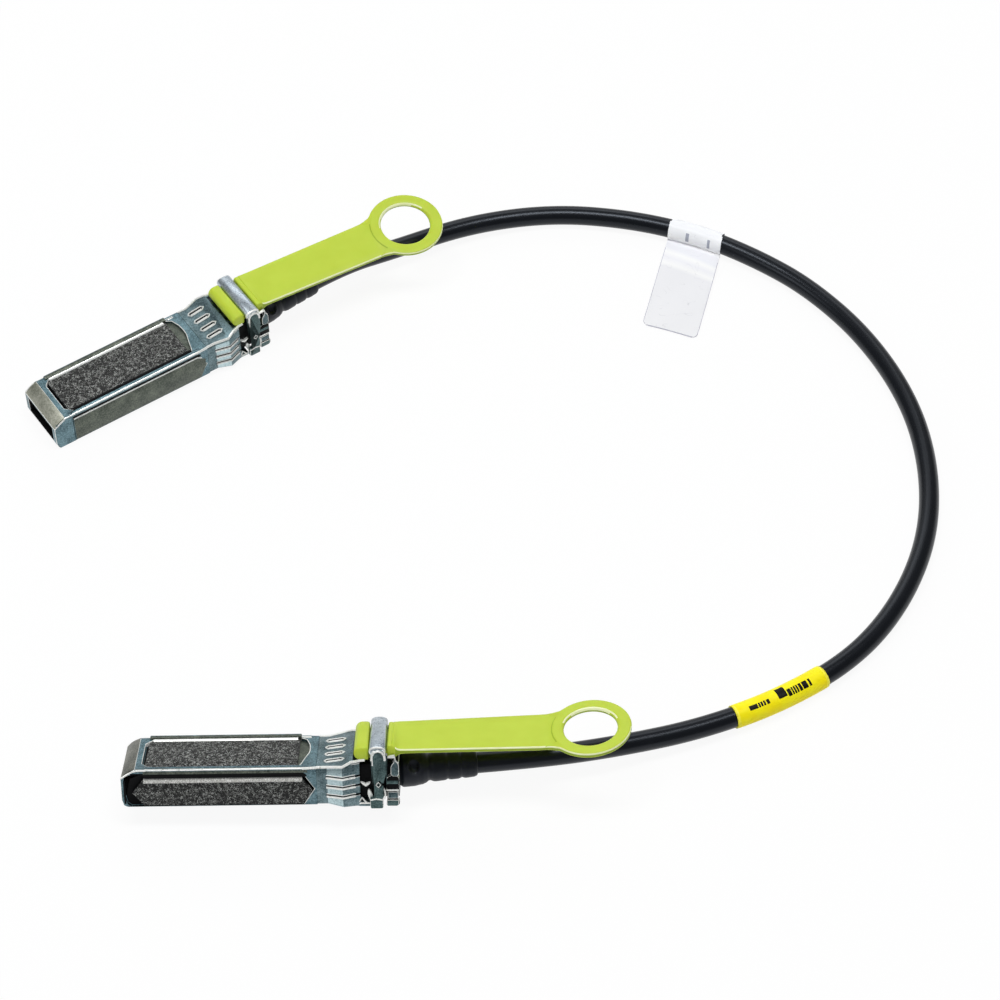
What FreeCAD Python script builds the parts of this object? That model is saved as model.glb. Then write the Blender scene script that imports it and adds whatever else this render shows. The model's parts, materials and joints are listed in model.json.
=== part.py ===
import FreeCAD, Part
import math
import os
import re

# A direct attach copper cable: two latching plugs with pull tabs, joined by one cable.
# Each plug is built in its own coordinates: X runs from its nose to the cable, Y to the
# left, Z up from its underside. place() then lays it on the floor of the shared frame.
# All sizes are in millimetres and degrees.

SIZES = {
    # plug body
    "plug_width": 13.4,
    "plug_height": 8.5,
    "shell_length": 44.2,
    "tail_start": 39.2,
    "nose_flat": 2.87,
    "bevel_drop": 1.93,
    "nose_under": 1.2,
    "corner_round": 0.35,
    "cavity_width": 10.6,
    "cavity_floor": 1.5,
    "cavity_height": 4.6,
    # raised rails, recesses and their inlays
    "rail_start": 5.0,
    "rail_height": 0.25,
    "rail_width": 0.95,
    "recess_start": 4.2,
    "recess_end": 37.6,
    "recess_corner": 1.7,
    "recess_depth": 0.9,
    "pad_start": 4.9,
    "pad_end": 35.4,
    "pad_half": 5.25,
    "pad_corner": 0.3,
    "side_front": 0.8,
    "side_tip_start": 2.2,
    "side_tip_end": 38.7,
    "side_point": 2.3,
    "side_low": 0.15,
    "side_high": 7.3,
    "side_depth": 0.75,
    "side_gap": 0.15,
    "side_gap_above": 1.3,
    "inlay_sunk": 0.08,
    # spring collar: how far its sides, top and underside stand out at each station
    "fold_start": 41.3,
    "fold_bulge": 44.45,
    "fold_lip": 46.1,
    "collar_end": 47.8,
    "collar_sheet": 0.25,
    "collar_fit": 0.02,
    "collar_corner": 0.5,
    "bulge_side": 0.88,
    "bulge_top": 0.45,
    "bulge_under": 0.4,
    "lip_side": 0.2,
    "lip_top": 1.15,
    "lip_under": 0.6,
    "end_side": -0.48,
    "end_top": 1.1,
    "end_under": 0.8,
    "top_slot_start": 40.7,
    "top_slot_end": 44.7,
    "top_slot_half": 0.55,
    "top_slot_pitch": 2.75,
    "side_slot_start": 41.0,
    "side_slot_half": 0.22,
    "side_slot_pitch": 2.1,
    "bead_notch": 46.5,
    "notch_half": 5.7,
    # rear frame
    "frame_sleeve_end": 47.6,
    "frame_inset": 0.78,
    "neck_half": 4.95,
    "neck_top": 8.3,
    "lug_start": 53.1,
    "rear_face": 55.6,
    "ear_half": 5.8,
    "ear_inner": 5.2,
    "ear_top": 10.4,
    "foot_drop": 1.05,
    "socket_depth": 2.2,
    # bail
    "bail_start": 50.25,
    "bail_length": 2.9,
    "bail_half": 6.72,
    "bail_sheet": 0.8,
    "bar_under": 10.85,
    "bar_top": 12.7,
    "bail_corner": 1.1,
    "foot_lead": 0.55,
    "foot_trail": 0.8,
    "foot_top": 1.3,
    "waist_front": 0.3,
    "waist_back": 0.65,
    "mark_size": 0.5,
    "mark_height": 4.5,
    "mark_depth": 0.15,
    # pull tab
    "tab_width": 10.0,
    "tab_thick": 1.1,
    "bead_round": 1.4,
    "bead_half": 5.5,
    "bead_centre": 48.1,
    "rib_start": 53.4,
    "rib_top": 12.4,
    "strap_start": 54.6,
    "strap_height": 11.45,
    "strap_end": 84.0,
    "strap_rise": 11.95,
    "ring_height": 12.6,
    "ring_centre": 94.0,
    "ring_outer": 8.1,
    "ring_hole": 5.55,
    "ring_thick": 1.5,
    "ring_blend": 6.0,
    "twist_start": 0.5,
    "twist_a": 12.5,
    "twist_b": 10.4,
    "sweep_a": 0.5,
    "sweep_b": -3.6,
    # latch
    "lever_half": 2.3,
    "lever_play": 0.3,
    "lever_start": 30.2,
    "lever_under": 0.3,
    "lever_top": 1.3,
    "boss_drop": 0.6,
    "arm_end": 43.6,
    "arm_under": 0.95,
    "arm_top": 1.7,
    "pin_place": 38.0,
    "pin_height": 1.6,
    "pin_round": 0.5,
    "knuckle_round": 0.95,
    "pin_fit": 0.03,
    "pin_half": 6.0,
    # card with its contacts
    "card_start": 0.8,
    "card_end": 40.0,
    "card_under": 3.5,
    "card_thick": 1.0,
    "contact_start": 1.2,
    "contact_end": 5.2,
    "contact_bus": 6.0,
    "contact_thick": 0.06,
    "contact_width": 0.6,
    "contact_pitch": 0.8,
    # boot and cable
    "boot_block": 3.4,
    "boot_ring": 2.92,
    "boot_groove": 2.45,
    "boot_end": 2.45,
    "boot_length": 15.5,
    "dimple_place": 2.3,
    "dimple_round": 0.75,
    "dimple_depth": 0.9,
    "cable_round": 2.2,
    "label_wrap": 0.22,
    "tag_sheet": 0.2,
    "tag_fit": 0.4,
    "tag_width": 13.4,
    "tag_length": 29.0,
    "tag_lean": -9.0,
    "tag_inset": 0.1,
}

# Where the two plugs lie: position of the plug's own zero point, heading, and the roll
# about its length. The near plug leans over on its far edge, the other one lies flat.
LAY = {
    "a": {"x": -75.59, "y": -79.06, "heading": 0.06, "roll": -25.0, "boot_turn": 8.0},
    "b": {"x": -101.3, "y": 20.1, "heading": 34.0, "roll": 0.0, "boot_turn": 2.0},
}

# Middle of both plugs together, which is the zero point of the shared frame.
FRAME_X = -39.45
FRAME_Y = -4.14

# The cable's route between its first and last points, which follow from the boots.
ROUTE = [
    (24.4, -69.2, 4.6),
    (40.8, -63.9, 3.0),
    (57.7, -56.3, 2.5),
    (73.8, -45.2, 2.3),
    (84.9, -30.4, 2.2),
    (92.2, -12.0, 2.2),
    (94.0, 7.6, 2.2),
    (91.2, 26.9, 2.2),
    (83.0, 46.0, 2.2),
    (71.3, 61.2, 2.3),
    (59.3, 70.7, 2.5),
    (45.6, 78.3, 2.8),
    (29.5, 83.5, 2.6),
    (11.5, 85.4, 2.4),
    (-7.4, 81.2, 3.0),
    (-24.6, 71.9, 4.2),
]
LEAD_A = 14.0
LEAD_B = 9.0
LABEL_AT = 2
TAG_AT = 11

doc = FreeCAD.newDocument("direct_attach_cable")
dims = doc.addObject("Spreadsheet::Sheet", "Dims")
for row, (alias, size) in enumerate(SIZES.items(), start=1):
    dims.set("A%d" % row, alias)
    dims.set("B%d" % row, str(size))
    dims.setAlias("B%d" % row, alias)
doc.recompute()

nodes = []
V = FreeCAD.Vector


def tied(text):
    """Write the alias names in an expression as cells of the spreadsheet."""
    return re.sub(r"[a-z]\w*", lambda m: "Dims." + m.group(0) if m.group(0) in SIZES else m.group(0), text)


def size_of(text):
    """Value of an expression in alias names."""
    return float(dims.evalExpression(tied(str(text))))


def new_body(name):
    body = doc.addObject("PartDesign::Body", name)
    body.Label = name
    nodes.append(body)
    return body


def sketch_on(body, name, plane, offset="0"):
    """Sketch on one of the body's own planes, moved out along its normal."""
    sketch = body.newObject("Sketcher::SketchObject", name)
    support = [f for f in body.Origin.OriginFeatures if f.Role == plane][0]
    sketch.AttachmentSupport = [(support, "")]
    sketch.MapMode = "FlatFace"
    sketch.AttachmentOffset = FreeCAD.Placement(V(0, 0, size_of(offset)), FreeCAD.Rotation())
    sketch.setExpression(".AttachmentOffset.Base.z", tied(offset))
    return sketch


def turned_sketch(body, name, plane, spot, rotation):
    """Sketch on one of the body's own planes, moved by spot and turned in that plane's axes."""
    view = sketch_on(body, name, plane)
    view.AttachmentOffset = FreeCAD.Placement(V(*[size_of(text) for text in spot]), rotation)
    for axis, text in zip("xyz", spot):
        view.setExpression(".AttachmentOffset.Base." + axis, tied(text))
    return view


def pin_point(sketch, edge, end, spot):
    """Tie one point of a sketch to two expressions, measured from the sketch's zero."""
    import Sketcher
    for kind, text in zip(("DistanceX", "DistanceY"), spot):
        rule = sketch.addConstraint(Sketcher.Constraint(kind, -1, 1, edge, end, size_of(text)))
        sketch.setExpression("Constraints[%d]" % rule, tied(str(text)))


def outline(sketch, spots):
    """Closed outline of straight edges through spots, each a pair of expressions."""
    import Sketcher
    at = [V(size_of(a), size_of(b), 0) for a, b in spots]
    first = sketch.GeometryCount
    count = len(at)
    for i in range(count):
        sketch.addGeometry(Part.LineSegment(at[i], at[(i + 1) % count]), False)
    for i in range(count):
        after = first + (i + 1) % count
        sketch.addConstraint(Sketcher.Constraint("Coincident", first + i, 2, after, 1))
        pin_point(sketch, first + i, 1, spots[i])


def box_outline(sketch, left, low, right, high):
    outline(sketch, [(left, low), (right, low), (right, high), (left, high)])


def disc_outline(sketch, spot, radius):
    import Sketcher
    middle = V(size_of(spot[0]), size_of(spot[1]), 0)
    edge = sketch.addGeometry(Part.Circle(middle, V(0, 0, 1), size_of(radius)), False)
    pin_point(sketch, edge, 3, spot)
    rule = sketch.addConstraint(Sketcher.Constraint("Radius", edge, size_of(radius)))
    sketch.setExpression("Constraints[%d]" % rule, tied(radius))


def pad(body, name, sketch, length, both=False, back=False):
    feature = body.newObject("PartDesign::Pad", name)
    feature.Profile = sketch
    feature.Length = size_of(length)
    feature.setExpression("Length", tied(length))
    feature.SideType = "Symmetric" if both else "One side"
    feature.Reversed = back
    doc.recompute()
    return feature


def pocket(body, name, sketch, length, back=False, both=False):
    """Cut away the sketch; it has to make the body lighter."""
    before = body.Shape.Volume
    feature = body.newObject("PartDesign::Pocket", name)
    feature.Profile = sketch
    feature.Length = size_of(length)
    feature.setExpression("Length", tied(length))
    feature.SideType = "Symmetric" if both else "One side"
    feature.Reversed = back
    doc.recompute()
    if body.Shape.Volume >= before:
        raise RuntimeError(name + " cuts nothing")
    return feature


def mirror(body, name, feature, plane="XZ_Plane"):
    """Repeat a feature on the other side of one of the body's own planes."""
    twin = body.newObject("PartDesign::Mirrored", name)
    twin.Originals = [feature]
    twin.MirrorPlane = ([f for f in body.Origin.OriginFeatures if f.Role == plane][0], [""])
    body.Tip = twin
    doc.recompute()
    return twin


def rounded(body, name, radius, chosen):
    """Round the edges of the body's tip that chosen() accepts."""
    base = body.Tip
    names = []
    for number, edge in enumerate(base.Shape.Edges, start=1):
        if chosen(edge):
            names.append("Edge%d" % number)
    if not names:
        raise RuntimeError(name + " finds no edge")
    feature = body.newObject("PartDesign::Fillet", name)
    feature.Base = (base, names)
    feature.Radius = size_of(radius)
    feature.setExpression("Radius", tied(radius))
    doc.recompute()
    return feature


def along(edge, axis):
    """True for a straight edge along axis."""
    if not isinstance(edge.Curve, Part.Line):
        return False
    return abs(edge.Curve.Direction.dot(axis)) > 0.999


def near(value, text):
    return abs(value - size_of(text)) < 0.02


def build_shell(tag):
    """Die-cast plug housing: bevelled nose, mouth, recesses, rails, and a tail for the collar."""
    body = new_body("shell_" + tag)
    side = sketch_on(body, "side_view_" + tag, "XZ_Plane")
    outline(side, [
        ("nose_under", "0"), ("tail_start", "0"), ("tail_start", "plug_height"),
        ("nose_flat", "plug_height"), ("0", "plug_height - bevel_drop"),
        ("0", "nose_under * 1.4"), ("nose_under * 0.3", "nose_under * 0.4"),
    ])
    pad(body, "block_" + tag, side, "plug_width", both=True)
    half = "plug_width / 2"
    rounded(body, "long_edges_" + tag, "corner_round", lambda e: along(e, V(1, 0, 0))
            and near(abs(e.CenterOfMass.y), half))
    tail = sketch_on(body, "tail_view_" + tag, "YZ_Plane", "tail_start")
    inset = "-(collar_sheet + collar_fit)"
    hoop(tail, inset, inset, inset)
    pad(body, "tail_" + tag, tail, "shell_length - tail_start")

    mouth = sketch_on(body, "mouth_view_" + tag, "YZ_Plane")
    box_outline(mouth, "-cavity_width / 2", "cavity_floor", "cavity_width / 2", "cavity_floor + cavity_height")
    pocket(body, "mouth_" + tag, mouth, "shell_length", back=True)

    top = sketch_on(body, "recess_view_" + tag, "XY_Plane", "plug_height")
    outline(top, cut_corners("recess_start", "recess_end", "plug_width / 2 - rail_width", "recess_corner"))
    pocket(body, "recess_" + tag, top, "recess_depth")

    rails = sketch_on(body, "rail_view_" + tag, "XY_Plane", "plug_height")
    inner = "plug_width / 2 - rail_width"
    outer = "plug_width / 2 - corner_round"
    box_outline(rails, "rail_start", inner, "recess_end", outer)
    box_outline(rails, "rail_start", "-(%s)" % outer, "recess_end", "-(%s)" % inner)
    pad(body, "rails_" + tag, rails, "rail_height")

    # Each side panel follows the nose at its front and runs to a point at its rear.
    flank = sketch_on(body, "flank_view_" + tag, "XZ_Plane", "plug_width / 2")
    outline(flank, [
        ("side_front", "2.2"), ("side_front + 0.3", "side_low + 0.7"), ("side_front + 1.1", "side_low"),
        ("side_tip_end - side_point", "side_low"), ("side_tip_end", "(side_low + side_high) / 2"),
        ("side_tip_end - side_point", "side_high"), ("side_front + 1.3", "side_high"),
        ("side_front", "side_high - 1.2"),
    ])
    cut = pocket(body, "flank_" + tag, flank, "side_depth")
    mirror(body, "far_flank_" + tag, cut)

    slot = sketch_on(body, "slot_view_" + tag, "XY_Plane")
    box_outline(slot, "lever_start - lever_play", "-lever_half - lever_play", "shell_length",
                "lever_half + lever_play")
    pocket(body, "lever_slot_" + tag, slot, "cavity_floor", back=True)
    return body


def cut_corners(start, end, half, cut):
    """Oblong from start to end, as wide as twice half, with its corners cut off."""
    return [
        (start, "-(%s) + %s" % (half, cut)), ("%s + %s" % (start, cut), "-(%s)" % half),
        ("%s - %s" % (end, cut), "-(%s)" % half), (end, "-(%s) + %s" % (half, cut)),
        (end, "%s - %s" % (half, cut)), ("%s - %s" % (end, cut), half),
        ("%s + %s" % (start, cut), half), (start, "%s - %s" % (half, cut)),
    ]


def build_inlays(tag):
    """The three grained inlays, in the top and in both sides."""
    top = new_body("top_pad_" + tag)
    view = sketch_on(top, "top_pad_view_" + tag, "XY_Plane", "plug_height - recess_depth")
    outline(view, cut_corners("pad_start", "pad_end", "pad_half", "pad_corner"))
    pad(top, "top_plate_" + tag, view, "recess_depth - inlay_sunk")

    made = [top]
    low, high = "side_low + side_gap", "side_high - side_gap_above"
    middle = "(%s + %s) / 2" % (low, high)
    low_front, low_rear = "side_tip_start + side_point", "side_tip_end - side_gap - side_point"
    for name, sign in (("near_pad_", 1), ("far_pad_", -1)):
        body = new_body(name + tag)
        out = "%d * (plug_width / 2 - side_depth)" % sign
        view = sketch_on(body, name + "view_" + tag, "XZ_Plane", out)
        outline(view, [
            ("side_tip_start", middle), (low_front, low), (low_rear, low),
            ("side_tip_end - 1.5 * side_gap", middle), (low_rear, high), (low_front, high),
        ])
        pad(body, name + "plate_" + tag, view, "side_depth - inlay_sunk", back=sign < 0)
        made.append(body)
    return made


def hoop(sketch, side, top, under):
    """Plug section grown at its sides, top and underside, with its corners cut."""
    wide, low = "(plug_width / 2 + %s)" % side, "(0 - (%s))" % under
    high, cut = "(plug_height + %s)" % top, "collar_corner"
    outline(sketch, [
        ("-%s + %s" % (wide, cut), low), ("%s - %s" % (wide, cut), low),
        (wide, "%s + %s" % (low, cut)), (wide, "%s - %s" % (high, cut)),
        ("%s - %s" % (wide, cut), high), ("-%s + %s" % (wide, cut), high),
        ("-" + wide, "%s - %s" % (high, cut)), ("-" + wide, "%s + %s" % (low, cut)),
    ])


def build_collar(tag):
    """Spring collar of folded sheet on the shell's tail, slit into fingers that bulge out."""
    body = new_body("spring_collar_" + tag)
    stations = [
        ("tail_start", "0", "0", "0"), ("fold_start", "0", "0", "0"),
        ("fold_bulge", "bulge_side", "bulge_top", "bulge_under"),
        ("fold_lip", "lip_side", "lip_top", "lip_under"),
        ("collar_end", "end_side", "end_top", "end_under"),
    ]
    for kind, less in (("Additive", ""), ("Subtractive", " - collar_sheet")):
        views = []
        for number, (place, side, top, under) in enumerate(stations):
            name = "%s_view_%d_%s" % (kind.lower(), number, tag)
            view = sketch_on(body, name, "YZ_Plane", place)
            hoop(view, side + less, top + less, under + less)
            views.append(view)
        loft = body.newObject("PartDesign::%sLoft" % kind, kind.lower() + "_skin_" + tag)
        loft.Profile = views[0]
        loft.Sections = views[1:]
        loft.Ruled = True
        doc.recompute()

    above = sketch_on(body, "top_slots_" + tag, "XY_Plane", "plug_height / 2")
    for step in (-1.5, -0.5, 0.5, 1.5):
        middle = "%s * top_slot_pitch" % step
        near_side, far_side = middle + " - top_slot_half", middle + " + top_slot_half"
        outline(above, [
            ("top_slot_start", middle), ("top_slot_start + top_slot_half", near_side),
            ("top_slot_end - top_slot_half", near_side), ("top_slot_end", middle),
            ("top_slot_end - top_slot_half", far_side), ("top_slot_start + top_slot_half", far_side),
        ])
    pocket(body, "top_fingers_" + tag, above, "plug_height + 4", both=True)

    beside = sketch_on(body, "side_slots_" + tag, "XZ_Plane")
    for step in (-1, 0, 1):
        middle = "plug_height / 2 + %d * side_slot_pitch" % step
        box_outline(beside, "side_slot_start", middle + " - side_slot_half", "collar_end + 1",
                    middle + " + side_slot_half")
    pocket(body, "side_fingers_" + tag, beside, "plug_width + 6", both=True)

    notch = sketch_on(body, "notch_view_" + tag, "XY_Plane", "plug_height + 0.5")
    box_outline(notch, "bead_notch", "-notch_half", "collar_end + 1", "notch_half")
    pocket(body, "bead_notch_" + tag, notch, "2", back=True)
    return body


def build_rear_frame(tag):
    """Rear of the plug: sleeve behind the shell, narrower neck, two tall ears with feet."""
    body = new_body("rear_frame_" + tag)
    sleeve = sketch_on(body, "sleeve_view_" + tag, "YZ_Plane", "shell_length")
    wide = "plug_width / 2 - frame_inset"
    box_outline(sleeve, "-(%s)" % wide, "frame_inset", wide, "plug_height - frame_inset")
    pad(body, "sleeve_" + tag, sleeve, "frame_sleeve_end - shell_length")

    neck = sketch_on(body, "neck_view_" + tag, "YZ_Plane", "shell_length")
    box_outline(neck, "-neck_half", "frame_inset", "neck_half", "neck_top")
    pad(body, "neck_" + tag, neck, "rear_face - shell_length")

    # Each ear is a folded strip: a tongue under the strap, a hook behind it, and a foot.
    ear = sketch_on(body, "ear_view_" + tag, "XZ_Plane", "ear_half")
    front, back, top = "lug_start", "rear_face", "ear_top"
    outline(ear, [
        (front, "-foot_drop + 0.8"), (front + " + 0.5", "-foot_drop + 0.1"), (back + " - 0.4", "-foot_drop + 0.1"),
        (back, "-foot_drop + 0.5"), (back, "0.3"), (back + " - 0.3", "0.5"), (back + " - 0.3", "2.4"),
        (back, "2.7"), (back, "5.4"), (back + " - 0.3", "5.8"), (back, "6.5"), (back, "8.7"),
        (back + " - 0.5", "9.3"), (back + " - 0.7", "9.6"), (back + " - 0.6", top + " - 0.2"),
        (back + " - 0.8", top), (front + " + 0.2", top + " - 0.3"), (front + " + 0.3", top + " - 0.8"),
        (back + " - 1.3", top + " - 0.7"), (back + " - 1.2", "9.1"), (back + " - 0.6", "8.3"),
        (back + " - 0.6", "6.9"), (back + " - 1.1", "6.2"), (front + " + 0.3", "5.6"), (front, "5.2"),
    ])
    plate = pad(body, "ear_" + tag, ear, "ear_half - neck_half + 0.2", back=True)
    mirror(body, "far_ear_" + tag, plate)
    gap = sketch_on(body, "strap_gap_" + tag, "YZ_Plane", front)
    box_outline(gap, "-ear_inner", "neck_top", "ear_inner", "ear_top + 1")
    pocket(body, "between_ears_" + tag, gap, "rear_face - lug_start + 1", back=True)

    socket = sketch_on(body, "socket_view_" + tag, "YZ_Plane", "rear_face")
    disc_outline(socket, ("0", "plug_height / 2"), "boot_block")
    pocket(body, "socket_" + tag, socket, "socket_depth")
    return body


def build_bail(tag):
    """Bail: rounded bar over the pull tab, and a leg down each side of the neck."""
    body = new_body("bail_" + tag)
    leg = sketch_on(body, "leg_view_" + tag, "XZ_Plane", "bail_half")
    front, back = "bail_start", "bail_start + bail_length"
    toe, heel = front + " - foot_lead", back + " - foot_trail"
    outline(leg, [
        (toe + " + 0.25", "-foot_drop"), (heel + " - 0.25", "-foot_drop"), (heel, "-foot_drop + 0.25"),
        (heel, "foot_top"), (back + " - waist_back", "foot_top + 0.3"), (back + " - waist_back", "mark_height"),
        (back, "mark_height + 2.4"), (back, "bar_top - bail_length / 2"),
        (front, "bar_top - bail_length / 2"), (front, "mark_height + 4.2"),
        (front + " + waist_front", "mark_height"), (front + " + waist_front", "foot_top + 0.3"),
        (toe, "foot_top"), (toe, "-foot_drop + 0.25"),
    ])
    plate = pad(body, "leg_" + tag, leg, "bail_sheet", back=True)
    mirror(body, "far_leg_" + tag, plate)

    bar = sketch_on(body, "bar_view_" + tag, "XZ_Plane")
    disc_outline(bar, ("bail_start + bail_length / 2", "bar_top - bail_length / 2"), "bail_length / 2")
    pad(body, "bar_" + tag, bar, "2 * bail_half", both=True)
    corner = sketch_on(body, "corner_view_" + tag, "YZ_Plane", front + " - 1")
    outline(corner, [
        ("bail_half - bail_corner", "bar_top + 1"), ("bail_half - bail_corner", "bar_top"),
        ("bail_half - 0.62 * bail_corner", "bar_top - 0.08 * bail_corner"),
        ("bail_half - 0.3 * bail_corner", "bar_top - 0.3 * bail_corner"),
        ("bail_half - 0.08 * bail_corner", "bar_top - 0.62 * bail_corner"),
        ("bail_half", "bar_top - bail_corner"), ("bail_half + 1", "bar_top - bail_corner"),
        ("bail_half + 1", "bar_top + 1"),
    ])
    shaved = pocket(body, "corner_" + tag, corner, "bail_length + 2", back=True)
    mirror(body, "far_corner_" + tag, shaved)
    under = sketch_on(body, "under_view_" + tag, "XZ_Plane")
    box_outline(under, front + " - 1", "bar_under - 3", back + " + 1", "bar_under")
    pocket(body, "under_bar_" + tag, under, "2 * (bail_half - bail_sheet)", both=True)

    mark = sketch_on(body, "mark_view_" + tag, "XZ_Plane", "bail_half")
    middle = "bail_start + bail_length / 2"
    outline(mark, [
        (middle, "mark_height - mark_size"), (middle + " + mark_size", "mark_height"),
        (middle, "mark_height + mark_size"), (middle + " - mark_size", "mark_height"),
    ])
    dent = pocket(body, "mark_" + tag, mark, "mark_depth")
    mirror(body, "far_mark_" + tag, dent)
    return body


def build_pull_tab(tag):
    """Pull tab: bead in front of the bail, strip under it, rib, twisted strap and ring."""
    body = new_body("pull_tab_" + tag)
    top, under = "bar_under - 0.1", "bar_under - 0.1 - tab_thick"
    crest = "(%s + 2 * bead_round)" % under
    strip = sketch_on(body, "strip_view_" + tag, "XZ_Plane")
    outline(strip, [
        ("bead_centre", under), ("strap_start + 0.4", under), ("strap_start + 0.4", "rib_top - 0.3"),
        ("strap_start + 0.1", "rib_top"), ("rib_start + 0.2", "rib_top"), ("rib_start", "rib_top - 0.2"),
        ("rib_start", top), ("bail_start - 0.1", top), ("bail_start - 0.1", crest), ("bead_centre", crest),
    ])
    pad(body, "strip_" + tag, strip, "tab_width", both=True)
    bead = sketch_on(body, "bead_view_" + tag, "XZ_Plane")
    disc_outline(bead, ("bead_centre", under + " + bead_round"), "bead_round")
    pad(body, "bead_" + tag, bead, "2 * bead_half", both=True)

    # The strap leaves the rib already twisted a little and runs straight to the ring.
    twist, sweep = "twist_" + tag, "sweep_" + tag
    reach = "(strap_end - strap_start) / (ring_centre - strap_start)"
    views = []
    for number, (place, lift, turn, shift) in enumerate([
        ("strap_start", "strap_height", "twist_start * " + twist, "0"),
        ("strap_end", "strap_rise", twist, "%s * %s" % (sweep, reach)),
    ]):
        view = turned_sketch(body, "strap_view_%d_%s" % (number, tag), "YZ_Plane", (shift, lift, place),
                             FreeCAD.Rotation(V(0, 0, 1), size_of(turn)))
        box_outline(view, "-tab_width / 2", "-tab_thick / 2", "tab_width / 2", "tab_thick / 2")
        views.append(view)
    strap = body.newObject("PartDesign::AdditiveLoft", "strap_" + tag)
    strap.Profile = views[0]
    strap.Sections = views[1:]
    doc.recompute()

    # The ring's plane carries on from the strap's end; its neck flows into it on both sides.
    ahead = V(size_of("ring_centre - strap_end"), size_of("%s * (1 - %s)" % (sweep, reach)),
              size_of("ring_height - strap_rise"))
    lie = FreeCAD.Rotation(V(1, 0, 0), ahead).multiply(FreeCAD.Rotation(V(1, 0, 0), size_of(twist)))
    middle = ("ring_centre", sweep, "ring_height")
    neck = turned_sketch(body, "ring_neck_" + tag, "XY_Plane", middle, lie)
    box_outline(neck, "strap_end - ring_centre - 0.2", "-tab_width / 2", "0", "tab_width / 2")
    pad(body, "ring_neck_pad_" + tag, neck, "tab_thick", both=True)
    web = turned_sketch(body, "ring_web_" + tag, "XY_Plane", middle, lie)
    disc_outline(web, ("0", "0"), "ring_outer")
    pad(body, "ring_web_pad_" + tag, web, "tab_thick", both=True)
    centre = V(*[size_of(text) for text in middle])
    normal = lie.multVec(V(0, 0, 1))
    rounded(body, "neck_blend_" + tag, "ring_blend", lambda e: along(e, normal)
            and near((e.CenterOfMass - centre).Length, "ring_outer")
            and (e.CenterOfMass - centre).dot(ahead) < 0)
    disc = turned_sketch(body, "ring_view_" + tag, "XY_Plane", middle, lie)
    disc_outline(disc, ("0", "0"), "ring_outer - 0.12")
    pad(body, "ring_" + tag, disc, "ring_thick", both=True)
    hole = turned_sketch(body, "hole_view_" + tag, "XY_Plane", middle, lie)
    disc_outline(hole, ("0", "0"), "ring_hole")
    pocket(body, "hole_" + tag, hole, "4 * ring_thick", both=True)
    return body


def build_latch(tag):
    """Latch rocker in the underside with its wedge, and the pin it rocks on."""
    lever = new_body("latch_lever_" + tag)
    side = sketch_on(lever, "lever_view_" + tag, "XZ_Plane")
    outline(side, [
        ("lever_start", "lever_under"), ("lever_start + 0.9", "-boss_drop"),
        ("lever_start + 3.8", "lever_under"), ("pin_place - 0.6", "lever_under"),
        ("pin_place + 1.4", "arm_under"), ("arm_end", "arm_under"), ("arm_end", "arm_top"),
        ("pin_place", "arm_top"), ("pin_place - 1.2", "lever_top"), ("lever_start", "lever_top"),
    ])
    pad(lever, "lever_plate_" + tag, side, "2 * lever_half", both=True)
    knuckle = sketch_on(lever, "knuckle_view_" + tag, "XZ_Plane")
    disc_outline(knuckle, ("pin_place", "pin_height"), "knuckle_round")
    pad(lever, "knuckle_" + tag, knuckle, "2 * lever_half", both=True)
    bore = sketch_on(lever, "bore_view_" + tag, "XZ_Plane")
    disc_outline(bore, ("pin_place", "pin_height"), "pin_round + pin_fit")
    pocket(lever, "bore_" + tag, bore, "4 * lever_half", both=True)

    pin = new_body("latch_pin_" + tag)
    end = sketch_on(pin, "pin_view_" + tag, "XZ_Plane")
    disc_outline(end, ("pin_place", "pin_height"), "pin_round")
    pad(pin, "pin_" + tag, end, "2 * pin_half", both=True)
    return [lever, pin]


def build_card(tag):
    """Contact card in the mouth, with a comb of gilt contacts on each face."""
    card = new_body("contact_card_" + tag)
    view = sketch_on(card, "card_view_" + tag, "XY_Plane", "card_under")
    box_outline(view, "card_start", "-cavity_width / 2", "card_end", "cavity_width / 2")
    pad(card, "card_plate_" + tag, view, "card_thick")
    made = [card]
    for name, level, down in (("upper_contacts_", "card_under + card_thick", False),
                              ("lower_contacts_", "card_under", True)):
        body = new_body(name + tag)
        bus = sketch_on(body, name + "bus_" + tag, "XY_Plane", level)
        box_outline(bus, "contact_end", "-5 * contact_pitch", "contact_bus", "5 * contact_pitch")
        pad(body, name + "strip_" + tag, bus, "contact_thick", back=down)
        teeth = sketch_on(body, name + "teeth_" + tag, "XY_Plane", level)
        for number in range(10):
            middle = "%.1f * contact_pitch" % (number - 4.5)
            box_outline(teeth, "contact_start", middle + " - contact_width / 2", "contact_end + 0.1",
                        middle + " + contact_width / 2")
        pad(body, name + "comb_" + tag, teeth, "contact_thick", back=down)
        made.append(body)
    return made


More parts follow.
